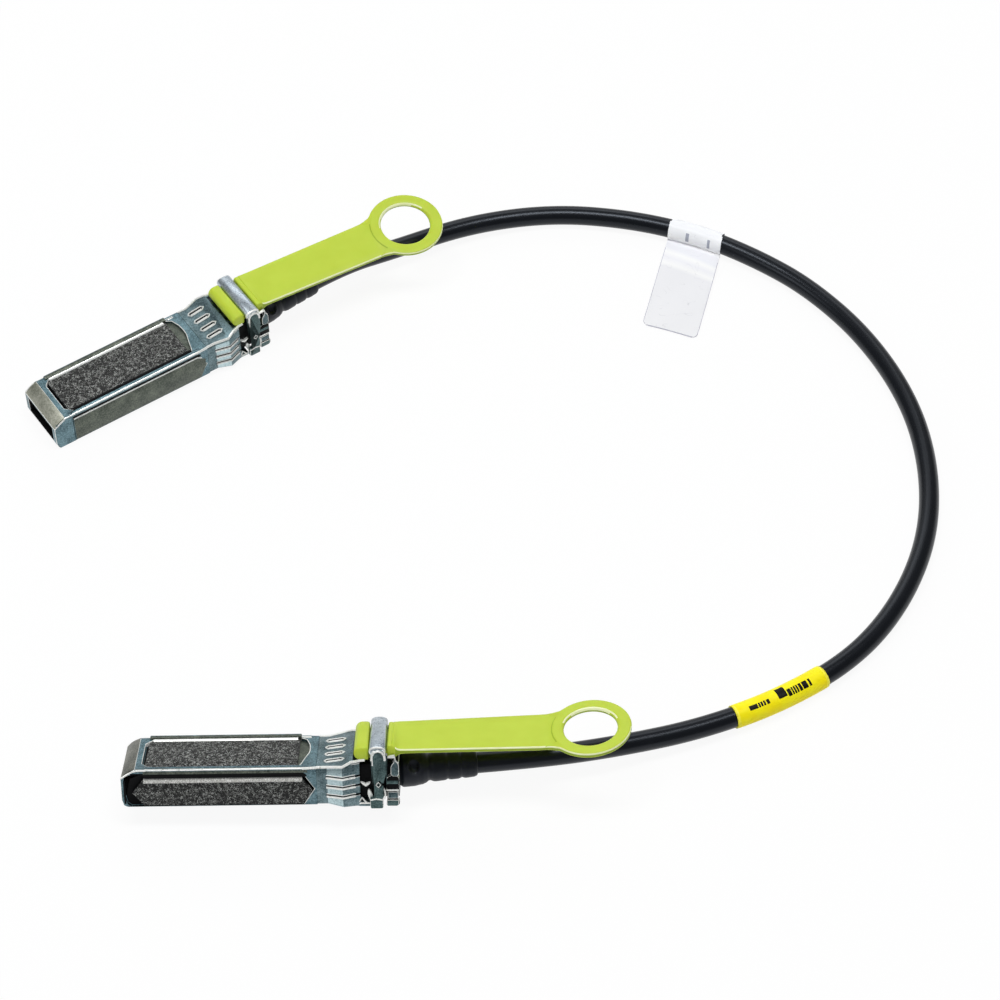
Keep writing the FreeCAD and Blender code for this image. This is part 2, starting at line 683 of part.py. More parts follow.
def build_boot(tag):
    """Ribbed strain relief, turned about its own X axis, with a dimple on each side."""
    body = new_body("boot_" + tag)
    view = sketch_on(body, "boot_view_" + tag, "XY_Plane")
    outline(view, [
        ("-socket_depth + 0.2", "0"), ("-socket_depth + 0.2", "boot_block - 0.4"), ("0", "boot_block - 0.4"),
        ("0", "boot_block"), ("5.1", "boot_block"), ("5.1", "boot_groove"), ("6.7", "boot_groove"),
        ("6.7", "boot_ring"), ("8.3", "boot_ring"), ("8.3", "boot_groove"), ("9.1", "boot_groove"),
        ("9.1", "boot_ring"), ("11.3", "boot_ring"), ("11.3", "boot_groove"), ("12.3", "boot_groove"),
        ("12.3", "boot_ring"), ("boot_length - 0.4", "boot_ring"), ("boot_length", "boot_end"),
        ("boot_length", "0"),
    ])
    turned = body.newObject("PartDesign::Revolution", "boot_ribs_" + tag)
    turned.Profile = view
    turned.ReferenceAxis = ([f for f in body.Origin.OriginFeatures if f.Role == "X_Axis"][0], [""])
    doc.recompute()
    dot = sketch_on(body, "dimple_view_" + tag, "XZ_Plane", "boot_block")
    disc_outline(dot, ("dimple_place", "0.6"), "dimple_round")
    cut = pocket(body, "dimple_" + tag, dot, "dimple_depth")
    mirror(body, "far_dimple_" + tag, cut)
    return body


def place(tag):
    """Lay a plug on the floor: its nose and its feet touch, at its heading and roll."""
    lay = LAY[tag]
    drop, reach = size_of("foot_drop"), size_of("bail_start - foot_lead + 0.25")
    pitch = math.degrees(math.atan2(drop, reach - size_of("nose_under")))
    turn = FreeCAD.Rotation(V(0, 0, 1), lay["heading"])
    turn = turn.multiply(FreeCAD.Rotation(V(0, 1, 0), -pitch))
    turn = turn.multiply(FreeCAD.Rotation(V(1, 0, 0), lay["roll"]))
    half = size_of("plug_width / 2")
    corners = [V(size_of("nose_under"), s * half, 0) for s in (-1, 1)]
    corners += [V(reach, s * half, -drop) for s in (-1, 1)]
    for place, side, under in (("fold_bulge", "bulge_side", "bulge_under"), ("collar_end", "end_side", "end_under")):
        x, y, z = size_of(place), half + size_of(side), -size_of(under)
        cut = size_of("collar_corner")
        corners += [V(x, s * y, z + cut) for s in (-1, 1)] + [V(x, s * (y - cut), z) for s in (-1, 1)]
    low = min(turn.multVec(c).z for c in corners)
    return FreeCAD.Placement(V(lay["x"] - FRAME_X, lay["y"] - FRAME_Y, -low), turn)


def build_plug(tag):
    """One whole plug, laid where it belongs. Returns the cable's exit and direction."""
    bodies = [build_shell(tag)]
    bodies += build_inlays(tag)
    bodies.append(build_collar(tag))
    bodies.append(build_rear_frame(tag))
    bodies.append(build_bail(tag))
    bodies.append(build_pull_tab(tag))
    bodies += build_latch(tag)
    bodies += build_card(tag)
    laid = place(tag)
    for body in bodies:
        body.Placement = laid
    boot = build_boot(tag)
    seat = FreeCAD.Placement(V(size_of("rear_face"), 0, size_of("plug_height / 2")),
                             FreeCAD.Rotation(V(0, 0, 1), LAY[tag]["boot_turn"]))
    boot.Placement = laid.multiply(seat)
    doc.recompute()
    exit_point = boot.Placement.multVec(V(size_of("boot_length"), 0, 0))
    heading = boot.Placement.Rotation.multVec(V(1, 0, 0))
    return exit_point, heading


def cable_edges(points):
    """Straight runs joined by tangent arcs, as large as the shorter run beside allows."""
    edges, radii = [], []
    start = points[0]
    for before, corner, after in zip(points, points[1:], points[2:]):
        back, ahead = before - corner, after - corner
        shorter = min(back.Length, ahead.Length)
        reach = 0.45 * shorter
        back.normalize()
        ahead.normalize()
        turn = math.pi - back.getAngle(ahead)
        radii.append(reach / math.tan(turn / 2))
        first, last = corner + back * reach, corner + ahead * reach
        inward = back + ahead
        inward.normalize()
        centre = corner + inward * math.hypot(radii[-1], reach)
        middle = centre - inward * radii[-1]
        edges.append(Part.LineSegment(start, first).toShape())
        edges.append(Part.Arc(first, middle, last).toShape())
        start = last
    edges.append(Part.LineSegment(start, points[-1]).toShape())
    return edges, radii


def tube(edges, radius):
    """Round rod along the edges: a cylinder on each run, a slice of a torus on each arc."""
    rods = []
    for edge in edges:
        start, end = edge.valueAt(edge.FirstParameter), edge.valueAt(edge.LastParameter)
        disc = Part.Face(Part.Wire([Part.Circle(start, edge.tangentAt(edge.FirstParameter), radius).toShape()]))
        if isinstance(edge.Curve, Part.Line):
            rods.append(disc.extrude(end - start))
        else:
            turn = math.degrees(edge.LastParameter - edge.FirstParameter)
            rods.append(disc.revolve(edge.Curve.Center, edge.Curve.Axis, turn))
    return rods[0].multiFuse(rods[1:]).removeSplitter()


def add_shape(name, shape, placement=None):
    item = doc.addObject("Part::Feature", name)
    item.Label = name
    item.Shape = shape
    if placement is not None:
        item.Placement = placement
    nodes.append(item)
    return item


exit_a, heading_a = build_plug("a")
exit_b, heading_b = build_plug("b")

route = [exit_a, exit_a + heading_a * LEAD_A]
route += [V(x - FRAME_X, y - FRAME_Y, z) for x, y, z in ROUTE]
route += [exit_b + heading_b * LEAD_B, exit_b]
edges, radii = cable_edges(route)
add_shape("cable", tube(edges, size_of("cable_round")))
length = sum(e.Length for e in edges)
print("cable length %.1f" % length)
print("bend radii " + " ".join("%.0f" % r for r in radii))
rod = math.pi * size_of("cable_round") ** 2 * length
print("cable volume / section x length %.4f" % (doc.cable.Shape.Volume / rod))
for point in route:
    print("route point %.2f %.2f %.2f" % (point.x, point.y, point.z))

# The yellow label is wrapped round one bend of the cable and the short runs beside it.
bend = 2 * (LABEL_AT + 1) + 1
wrap = edges[bend - 1:bend + 2]
outer = tube(wrap, size_of("cable_round + label_wrap"))
inner = tube(wrap, size_of("cable_round"))
add_shape("yellow_label", outer.cut(inner))
print("label length %.1f" % sum(e.Length for e in wrap))

# The clear tag is folded round the cable and lies down on the floor inside the loop.
bend = edges[2 * (TAG_AT + 1) + 1]
middle = (bend.FirstParameter + bend.LastParameter) / 2
spot = bend.valueAt(middle)
heading = bend.tangentAt(middle)
grip, sheet = size_of("cable_round + tag_fit"), size_of("tag_sheet")
reach, drop = size_of("tag_length"), spot.z - size_of("tag_sheet")
fall = math.degrees(math.asin((drop + grip) / reach))
width = size_of("tag_width")
turned = FreeCAD.Rotation(V(0, 0, 1), math.degrees(math.atan2(heading.y, heading.x)))
sleeve = Part.makeCylinder(grip + sheet, width).cut(Part.makeCylinder(grip, width))
sleeve.rotate(V(0, 0, 0), V(0, 1, 0), 90)
lean = reach * math.tan(math.radians(size_of("tag_lean")))
inset = size_of("tag_inset")
corners = [V(inset, 0, grip), V(width - inset, 0, grip), V(width - inset + lean, reach, grip),
           V(inset + lean, reach, grip)]
flag = Part.Face(Part.makePolygon(corners + corners[:1])).extrude(V(0, 0, sheet))
flag.rotate(V(0, 0, 0), V(1, 0, 0), -fall)
grip_rod = Part.makeCylinder(grip, width)
grip_rod.rotate(V(0, 0, 0), V(0, 1, 0), 90)
tag_shape = sleeve.fuse(flag).cut(grip_rod).removeSplitter()
tag_shape.translate(V(-width / 2, 0, 0))
add_shape("clear_tag", tag_shape, FreeCAD.Placement(spot, turned))

doc.recompute()
os.makedirs("parts", exist_ok=True)
total = 0
for item in doc.Objects:
    if "Invalid" in item.State or "Error" in item.State:
        raise RuntimeError("%s does not build: %s" % (item.Label, item.State))
for item in nodes:
    if item.Shape.isNull() or not item.Shape.isValid():
        raise RuntimeError(item.Label + " has no valid shape")
    item.Shape.exportStep("parts/%s.step" % item.Label)
    total += 1
whole = FreeCAD.BoundBox()
for item in nodes:
    if item.Label not in ("cable", "yellow_label", "clear_tag"):
        whole.add(item.Shape.BoundBox)
print("%d pieces" % total)
print("plugs' box middle %.3f %.3f, floor %.3f" % (whole.Center.x, whole.Center.y, whole.ZMin))
print("plugs' box size %.1f %.1f %.1f" % (whole.XLength, whole.YLength, whole.ZLength))
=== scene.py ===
import json
import math

import bmesh
import bpy
from mathutils import Matrix, Vector


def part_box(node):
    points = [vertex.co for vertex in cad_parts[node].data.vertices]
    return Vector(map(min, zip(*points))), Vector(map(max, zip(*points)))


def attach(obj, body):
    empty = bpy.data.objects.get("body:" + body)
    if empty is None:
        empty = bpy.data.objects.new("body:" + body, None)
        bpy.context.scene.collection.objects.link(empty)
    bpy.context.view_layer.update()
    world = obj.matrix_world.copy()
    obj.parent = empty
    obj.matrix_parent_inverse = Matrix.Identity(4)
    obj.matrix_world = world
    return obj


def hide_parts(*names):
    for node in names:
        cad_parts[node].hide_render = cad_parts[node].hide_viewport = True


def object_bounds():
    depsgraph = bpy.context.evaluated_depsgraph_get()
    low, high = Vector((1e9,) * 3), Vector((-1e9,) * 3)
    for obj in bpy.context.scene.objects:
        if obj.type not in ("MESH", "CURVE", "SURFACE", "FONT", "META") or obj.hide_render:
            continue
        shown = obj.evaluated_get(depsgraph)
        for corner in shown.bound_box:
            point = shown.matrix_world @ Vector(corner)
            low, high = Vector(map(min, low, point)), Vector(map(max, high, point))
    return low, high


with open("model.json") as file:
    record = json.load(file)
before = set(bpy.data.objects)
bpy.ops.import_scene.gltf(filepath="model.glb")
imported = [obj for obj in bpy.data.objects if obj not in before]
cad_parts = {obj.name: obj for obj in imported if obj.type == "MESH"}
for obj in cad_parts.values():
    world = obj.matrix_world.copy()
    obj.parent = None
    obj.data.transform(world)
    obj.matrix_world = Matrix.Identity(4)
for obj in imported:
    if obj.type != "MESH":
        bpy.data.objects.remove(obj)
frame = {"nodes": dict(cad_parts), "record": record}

# A direct attach copper cable: two latching plugs with lime pull tabs, joined by one cable.
# Lengths inside this script are millimetres in a plug's own frame, unless a name says metres.
MM = 0.001
MIDDLE = 4.25  # height of a plug's long axis over its underside
cad_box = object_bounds()

# ------------------------------------------------------------------ camera
AIM = Vector((0.03945, 0.00414, 0.0))
ELEVATION = math.radians(50.0)
DISTANCE = 0.730
LENS, SENSOR = 120.6, 36.0
camera = bpy.data.objects.new("camera", bpy.data.cameras.new("camera"))
bpy.context.scene.collection.objects.link(camera)
camera.location = AIM + DISTANCE * Vector((0.0, -math.cos(ELEVATION), math.sin(ELEVATION)))
camera.rotation_euler = (AIM - camera.location).to_track_quat("-Z", "Y").to_euler()
camera.data.lens = LENS
camera.data.sensor_width = SENSOR
camera.data.clip_start = 0.01
bpy.context.scene.camera = camera
bpy.context.scene.view_settings.view_transform = "Standard"


# ------------------------------------------------------------------ materials
def ink(red, green, blue):
    """Linear colour of an 8-bit screen colour."""
    out = []
    for value in (red, green, blue):
        v = value / 255.0
        out.append(v / 12.92 if v <= 0.04045 else ((v + 0.055) / 1.055) ** 2.4)
    return (*out, 1.0)


class Paint:
    """A Principled material with short calls for the nodes used here."""

    def __init__(self, name, colour, rough, metal=0.0, **sockets):
        self.material = bpy.data.materials.new(name)
        self.material.use_nodes = True
        self.tree = self.material.node_tree
        self.shader = self.tree.nodes["Principled BSDF"]
        self.set("Base Color", colour)
        self.set("Roughness", rough)
        self.set("Metallic", metal)
        for socket, value in sockets.items():
            self.set(socket.replace("_", " "), value)
        self.place = self.node("ShaderNodeTexCoord").outputs["Object"]
        self.height = None

    def set(self, socket, value):
        self.shader.inputs[socket].default_value = value

    def node(self, kind, **values):
        made = self.tree.nodes.new(kind)
        for key, value in values.items():
            setattr(made, key, value)
        return made

    def link(self, source, target):
        self.tree.links.new(source, target)

    def feed(self, socket, value):
        """Sets a socket to a plain value, or links it to another node's output."""
        if isinstance(value, (int, float, tuple)):
            socket.default_value = value
        else:
            self.link(value, socket)

    def clouds(self, size, detail=2.0, rough=0.55, twist=0.0, place=None):
        """Noise whose blobs are about `size` millimetres across."""
        made = self.node("ShaderNodeTexNoise")
        made.inputs["Scale"].default_value = 1.0 / (size * MM)
        made.inputs["Detail"].default_value = detail
        made.inputs["Roughness"].default_value = rough
        made.inputs["Distortion"].default_value = twist
        self.link(place or self.place, made.inputs["Vector"])
        return made.outputs["Fac"]

    def ramp(self, source, *stops):
        made = self.node("ShaderNodeValToRGB")
        ramp = made.color_ramp
        while len(ramp.elements) < len(stops):
            ramp.elements.new(0.5)
        for element, (spot, value) in zip(ramp.elements, stops):
            element.position = spot
            element.color = value if isinstance(value, tuple) else (value, value, value, 1.0)
        self.link(source, made.inputs["Fac"])
        return made.outputs["Color"]

    def sums(self, operation, first, second):
        made = self.node("ShaderNodeMath", operation=operation)
        for socket, value in zip(made.inputs, (first, second)):
            self.feed(socket, value)
        return made.outputs[0]

    def blend(self, share, first, second):
        made = self.node("ShaderNodeMix", data_type="RGBA")
        for number, value in ((0, share), (6, first), (7, second)):
            self.feed(made.inputs[number], value)
        return made.outputs[2]

    def window(self, source, low, high):
        """One where the source lies between two values, else zero."""
        above = self.sums("GREATER_THAN", source, low)
        below = self.sums("LESS_THAN", source, high)
        return self.sums("MULTIPLY", above, below)

    def film_chart(self):
        """The two coordinates of a film's own chart."""
        chart = self.node("ShaderNodeUVMap", uv_map="film").outputs[0]
        parts = self.node("ShaderNodeSeparateXYZ")
        self.link(chart, parts.inputs[0])
        return parts.outputs[0], parts.outputs[1]

    def colour(self, source):
        self.link(source, self.shader.inputs["Base Color"])

    def rough(self, source, low, high):
        made = self.node("ShaderNodeMapRange")
        made.inputs["To Min"].default_value = low
        made.inputs["To Max"].default_value = high
        self.link(source, made.inputs["Value"])
        self.link(made.outputs[0], self.shader.inputs["Roughness"])

    def bump(self, source, depth, strength=1.0):
        """Relief `depth` millimetres deep, laid over any relief already there."""
        made = self.node("ShaderNodeBump")
        made.inputs["Strength"].default_value = strength
        made.inputs["Distance"].default_value = depth * MM
        self.link(source, made.inputs["Height"])
        if self.height is not None:
            self.link(self.height, made.inputs["Normal"])
        self.height = made.outputs[0]
        self.link(self.height, self.shader.inputs["Normal"])


def metal(name, dark, mid, light, rough, bump=0.006, metal_share=0.9):
    """Mottled cast or pressed metal: speckle over broad clouds, with uneven polish."""
    paint = Paint(name, mid, rough, metal_share)
    fine = paint.clouds(0.34, 3.0, 0.6, 0.4)
    broad = paint.clouds(2.6, 2.0, 0.5)
    both = paint.sums("ADD", paint.sums("MULTIPLY", fine, 0.65), paint.sums("MULTIPLY", broad, 0.35))
    paint.colour(paint.ramp(both, (0.36, dark), (0.5, mid), (0.66, light)))
    paint.rough(both, rough - 0.12, rough + 0.12)
    paint.bump(fine, bump)
    return paint.material


def grained(name, base, thread, fleck):
    """Charcoal moulding with short pale worm-like threads."""
    paint = Paint(name, base, 0.62, 0.0, Specular_IOR_Level=0.35)
    field = paint.clouds(0.44, 1.0, 0.5, 0.9)
    band = paint.sums("ABSOLUTE", paint.sums("SUBTRACT", field, 0.5), 0.0)
    thin = paint.ramp(band, (0.0, 1.0), (0.024, 0.85), (0.044, 0.0))
    broken = paint.ramp(paint.clouds(0.75, 2.0, 0.6), (0.40, 0.0), (0.52, 1.0))
    threads = paint.sums("MULTIPLY", thin, broken)
    ground = paint.ramp(paint.clouds(0.22, 2.0, 0.6), (0.35, fleck), (0.65, base))
    paint.colour(paint.blend(threads, ground, thread))
    paint.rough(paint.clouds(0.8, 2.0), 0.5, 0.72)
    paint.bump(threads, 0.035)
    return paint.material


def soft(name, colour, deep, rough, size=3.0, bump=0.004, **sockets):
    """Moulded plastic or rubber: faint clouds of colour and a very fine skin."""
    paint = Paint(name, colour, rough, 0.0, **sockets)
    paint.colour(paint.ramp(paint.clouds(size, 2.0), (0.3, deep), (0.7, colour)))
    paint.rough(paint.clouds(max(size, 0.9), 2.0), rough - 0.06, rough + 0.06)
    if bump:
        paint.bump(paint.clouds(0.12, 2.0, 0.6), bump)
    return paint.material


ZINC = metal("zinc", ink(68, 88, 94), ink(98, 124, 132), ink(134, 164, 173), 0.42)
# A lighter copy of the nose metal for plug b: painted light.
NOSE_PAINTED_LIGHT = metal("zinc_nose_painted_light", ink(142, 144, 130), ink(176, 177, 162), ink(204, 204, 192), 0.46)
NOSE = metal("zinc_nose", ink(88, 90, 84), ink(118, 119, 112), ink(154, 154, 144), 0.46)
OLIVE = metal("zinc_olive", ink(66, 72, 66), ink(94, 100, 92), ink(124, 130, 118), 0.48)
# Near-black that stands in for shade: painted shade in hollows, recesses, gaps and under parts.
PAINTED_SHADE = soft("painted_shade_dark", ink(13, 14, 16), ink(7, 8, 9), 0.5, 1.5, Specular_IOR_Level=0.1)
# Near-white metal that stands in for highlights: a painted highlight on rounded edges, lips, slopes and
# small bright shapes, not wear.
PAINTED_HIGHLIGHT = metal("painted_edge_highlight", ink(228, 230, 226), ink(242, 243, 239), ink(250, 250, 247), 0.3, 0.001, 0.35)
SPRING = metal("spring_sheet", ink(72, 90, 95), ink(104, 125, 130), ink(138, 158, 164), 0.38, 0.003)
# A lighter copy of the spring sheet: painted light on the collar's side panels.
SPRING_PAINTED_LIGHT = metal("spring_painted_light", ink(152, 174, 178), ink(186, 208, 212), ink(208, 226, 230), 0.34, 0.003)
FRAME = metal("frame_cast", ink(50, 64, 67), ink(80, 98, 102), ink(112, 132, 136), 0.42)
# Lighter and darker copies of one bail metal: the split between them paints light and shade by which way
# faces turn; the darker one also serves the frame's roll and foot as painted shade.
BAIL = metal("bail_bar", ink(146, 156, 165), ink(180, 191, 199), ink(214, 222, 228), 0.3, 0.002)
LEG_PAINTED_SHADE = metal("bail_leg_painted_shade", ink(54, 72, 72), ink(80, 100, 100), ink(106, 128, 128), 0.42, 0.004)
PAD = grained("inlay_grain", ink(36, 37, 36), ink(184, 186, 182), ink(13, 13, 13))
# A darker copy of the inlay: painted shade on the side inlays.
PAD_SHADE = grained("inlay_painted_shade", ink(22, 23, 22), ink(176, 178, 174), ink(7, 7, 7))
# A pale copy of the inlay grain: painted highlight on the side inlays' ledges.
LEDGE = grained("inlay_ledge", ink(216, 215, 210), ink(252, 252, 248), ink(156, 155, 150))
LIME = soft("lime_tab", ink(191, 211, 63), ink(186, 206, 56), 0.46, 5.0, 0.003,
            Subsurface_Weight=0.06, Subsurface_Scale=0.0015, Specular_IOR_Level=0.35)
# A pale copy of the lime: painted highlight on the tab's upper edges and rims.
LIME_HIGHLIGHT = soft("lime_painted_highlight", ink(243, 248, 202), ink(234, 242, 176), 0.34, 3.0, 0.002)
# A darker copy of the lime: painted shade on the tab's sides and walls.
LIME_SHADE = soft("lime_painted_shade", ink(160, 184, 44), ink(150, 174, 38), 0.5, 3.0, 0.002, Specular_IOR_Level=0.3)
RUBBER = soft("boot_rubber", ink(18, 19, 25), ink(11, 12, 17), 0.42, 2.0, 0.008, Specular_IOR_Level=0.32,
              Specular_Tint=(0.8, 0.88, 1.0, 1.0))
JACKET = soft("cable_jacket", ink(7, 8, 13), ink(4, 5, 9), 0.29, 8.0, 0.0, Specular_IOR_Level=0.36,
              Specular_Tint=(0.8, 0.88, 1.0, 1.0))
BOARD = soft("card_board", ink(20, 66, 44), ink(14, 52, 34), 0.4, 2.0)
GILT = metal("gilt", ink(196, 160, 84), ink(222, 188, 112), ink(240, 210, 140), 0.3, 0.001, 1.0)
PIN = metal("pin_steel", ink(120, 128, 130), ink(150, 158, 160), ink(180, 188, 190), 0.3, 0.001)


# ------------------------------------------------------------------ shared mesh helpers
def add_piece(name, mesh, *materials):
    piece = bpy.data.objects.new(name, mesh)
    bpy.context.scene.collection.objects.link(piece)
    for material in materials:
        mesh.materials.append(material)
    return piece


def settle(mesh):
    """Nothing reaches under the solids' lowest point, so every foot stands on the floor."""
    for vertex in mesh.vertices:
        vertex.co.z = max(vertex.co.z, cad_box[0].z)


def smooth(mesh, angle=35.0):
    """Smooth shading, broken at edges sharper than `angle` degrees."""
    settle(mesh)
    form = bmesh.new()
    form.from_mesh(mesh)
    for face in form.faces:
        face.smooth = True
    for edge in form.edges:
        edge.smooth = len(edge.link_faces) == 2 and edge.calc_face_angle(0.0) < math.radians(angle)
    form.to_mesh(mesh)
    form.free()


def apply_modifiers(piece):
    """Bake the piece's modifiers into its mesh."""
    bpy.context.view_layer.update()
    graph = bpy.context.evaluated_depsgraph_get()
    mesh = bpy.data.meshes.new_from_object(piece.evaluated_get(graph))
    piece.modifiers.clear()
    piece.data = mesh


def tidy_copy(node, angle=1.0):
    """Copy of a solid's mesh with its flat faces made whole again."""
    mesh = frame["nodes"][node].data.copy()
    form = bmesh.new()
    form.from_mesh(mesh)
    bmesh.ops.remove_doubles(form, verts=form.verts, dist=1e-6)
    bmesh.ops.dissolve_limit(form, angle_limit=math.radians(angle), verts=form.verts, edges=form.edges,
                             use_dissolve_boundaries=False)
    form.to_mesh(mesh)
    form.free()
    mesh.materials.clear()
    return mesh


# ------------------------------------------------------------------ where each plug lies
def plug_frame(tag):
    """A plug's own axes in the frame, from its two mounts: millimetres in, metres out."""
    mounts = {m["name"]: m for m in frame["record"]["mounts"]}
    ahead = -Vector(mounts["plug_" + tag]["axis"]).normalized()
    up = -Vector(mounts["cage_face_" + tag]["axis"]).normalized()
    side = up.cross(ahead).normalized()
    up = ahead.cross(side).normalized()
    origin = Vector(mounts["plug_" + tag]["pos_m"]) - up * MIDDLE * MM
    turn = Matrix((ahead, side, up)).transposed().to_4x4()
    return Matrix.Translation(origin) @ turn @ Matrix.Scale(MM, 4)


PLUG = {tag: plug_frame(tag) for tag in "ab"}


def dress(node, tag, materials, width=0.13, weigh=None, choose=None, body="cable_set",
          segments=2, angle=28.0):
    """A finished piece over a solid: same form, with the small rounded edges of the real one.

    weigh(spot, along) gives an edge's share of the width, choose(spot, turn, index) a face's
    material, all in the plug's own millimetres.
    """
    piece = add_piece("fine_" + node, tidy_copy(node), *materials)
    to_plug = PLUG[tag].inverted()
    form = bmesh.new()
    form.from_mesh(piece.data)
    share = form.edges.layers.float.new("bevel_weight_edge")
    for edge in form.edges:
        if len(edge.link_faces) == 2 and edge.calc_face_angle(0.0) > math.radians(angle):
            first, last = (to_plug @ v.co for v in edge.verts)
            along = (last - first).normalized()
            edge[share] = weigh((first + last) / 2, along) if weigh else 1.0
    form.to_mesh(piece.data)
    form.free()
    edges = piece.modifiers.new("edges", "BEVEL")
    edges.width = width * MM
    edges.segments = segments
    edges.limit_method = "WEIGHT"
    edges.use_clamp_overlap = False
    # Rounded edges take the second material where a piece has one; in this script that is always the
    # painted highlight.
    edges.material = 1 if len(materials) > 1 else -1
    apply_modifiers(piece)
    if choose:
        turned = to_plug.to_3x3()
        for face in piece.data.polygons:
            face.material_index = choose(to_plug @ face.center, (turned @ face.normal).normalized(),
                                         face.material_index)
    smooth(piece.data, 32.0)
    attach(piece, body)
    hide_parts(node)
    return piece


class Form:
    """A mesh in a plug's own millimetres, finished as a piece in the frame."""

    def __init__(self):
        self.mesh = bmesh.new()

    def ring_tube(self, points, radius, index=0, sides=8, closed=False):
        """Round bead along the points."""
        points = [Vector(p) for p in points]
        count = len(points)
        rings = []
        for i, point in enumerate(points):
            before = points[i - 1] if (i or closed) else point
            after = points[(i + 1) % count] if (i < count - 1 or closed) else point
            heading = (after - before).normalized()
            side = heading.cross(Vector((0.13, 0.27, 0.95))).normalized()
            up = side.cross(heading)
            rings.append([self.mesh.verts.new(point + (side * math.cos(a) + up * math.sin(a)) * radius)
                          for a in (2 * math.pi * k / sides for k in range(sides))])
        for i in range(count if closed else count - 1):
            near, far = rings[i], rings[(i + 1) % count]
            for k in range(sides):
                after = (k + 1) % sides
                face = self.mesh.faces.new((near[k], near[after], far[after], far[k]))
                face.material_index = index
        if not closed:
            self.mesh.faces.new(list(reversed(rings[0]))).material_index = index
            self.mesh.faces.new(rings[-1]).material_index = index

    def prism(self, outline, low, high, index=0, axis="y"):
        """Flat outline, in XZ or YZ, carried from one distance to another."""
        def spot(first, second, far):
            return {"x": (far, first, second), "y": (first, far, second), "z": (first, second, far)}[axis]
        ends = [[self.mesh.verts.new(spot(u, v, far)) for u, v in outline] for far in (low, high)]
        count = len(outline)
        self.mesh.faces.new(ends[0]).material_index = index
        self.mesh.faces.new(list(reversed(ends[1]))).material_index = index
        for k in range(count):
            after = (k + 1) % count
            face = self.mesh.faces.new((ends[0][k], ends[1][k], ends[1][after], ends[0][after]))
            face.material_index = index

    def finish(self, name, tag, body, materials, width=0.0, edge_index=-1, segments=2, angle=30.0):
        bmesh.ops.recalc_face_normals(self.mesh, faces=self.mesh.faces)
        self.mesh.transform(PLUG[tag])
        made = bpy.data.meshes.new(name)
        self.mesh.to_mesh(made)
        self.mesh.free()
        piece = add_piece(name, made, *materials)
        if width:
            edges = piece.modifiers.new("edges", "BEVEL")
            edges.width = width * MM
            edges.segments = segments
            edges.limit_method = "ANGLE"
            edges.angle_limit = math.radians(angle)
            edges.use_clamp_overlap = True
            edges.material = edge_index
            apply_modifiers(piece)
        smooth(piece.data, 38.0)
        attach(piece, body)
        return piece


# ------------------------------------------------------------------ cable
# The cable's route, in metres: out of plug a's boot, round the loop and into plug b's boot.
ROUTE = (
    (0.03472, -0.07110, 0.00727),
    (0.04860, -0.06931, 0.00675),
    (0.06385, -0.06506, 0.00460),
    (0.08025, -0.05976, 0.00300),
    (0.09715, -0.05216, 0.00250),
    (0.11325, -0.04106, 0.00230),
    (0.12435, -0.02626, 0.00220),
    (0.13165, -0.00786, 0.00220),
    (0.13345, 0.01174, 0.00220),
    (0.13065, 0.03104, 0.00220),
    (0.12245, 0.05014, 0.00220),
    (0.11075, 0.06534, 0.00230),
    (0.09875, 0.07484, 0.00250),
    (0.08505, 0.08244, 0.00280),
    (0.06895, 0.08764, 0.00260),
    (0.05095, 0.08954, 0.00240),
    (0.03205, 0.08534, 0.00300),
    (0.01485, 0.07604, 0.00420),
    (0.00397, 0.06967, 0.00595),
    (-0.00331, 0.06438, 0.00575),
)
CABLE_ROUND = 2.2


def route_curve(name):
    curve = bpy.data.curves.new(name, "CURVE")
    curve.dimensions = "3D"
    spline = curve.splines.new("NURBS")
    spline.points.add(len(ROUTE) - 1)
    for point, spot in zip(spline.points, ROUTE):
        point.co = (*spot, 1.0)
    spline.order_u = 3
    spline.use_endpoint_u = True
    spline.resolution_u = 16
    return curve


def route_line():
    """The cable's middle line, read from its own spline: points in metres and their distances."""
    guide = bpy.data.objects.new("guide", route_curve("guide"))
    bpy.context.scene.collection.objects.link(guide)
    bpy.context.view_layer.update()
    graph = bpy.context.evaluated_depsgraph_get()
    mesh = bpy.data.meshes.new_from_object(guide.evaluated_get(graph))
    spots = [v.co.copy() for v in mesh.vertices]
    bpy.data.meshes.remove(mesh)
    bpy.data.objects.remove(guide)
    far = [0.0]
    for before, after in zip(spots, spots[1:]):
        far.append(far[-1] + (after - before).length)
    return spots, far


line_spots, line_far = route_line()


def along_line(distance):
    """Point and heading on the cable's middle line, at a distance in metres from plug a."""
    distance = min(max(distance, 0.0), line_far[-1])
    for i in range(1, len(line_far)):
        if line_far[i] >= distance:
            break
    share = (distance - line_far[i - 1]) / (line_far[i] - line_far[i - 1])
    spot = line_spots[i - 1].lerp(line_spots[i], share)
    before, after = max(i - 2, 0), min(i + 1, len(line_spots) - 1)
    return spot, (line_spots[after] - line_spots[before]).normalized()


def nearest_distance(spot):
    return min(zip(line_spots, line_far), key=lambda pair: (pair[0] - spot).length)[1]


jacket = route_curve("cable_jacket")
jacket.bevel_depth = CABLE_ROUND * MM
jacket.bevel_resolution = 10
jacket.materials.append(JACKET)
cable = bpy.data.objects.new("cable_jacket", jacket)
bpy.context.scene.collection.objects.link(cable)
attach(cable, "cable_set")
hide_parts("cable")


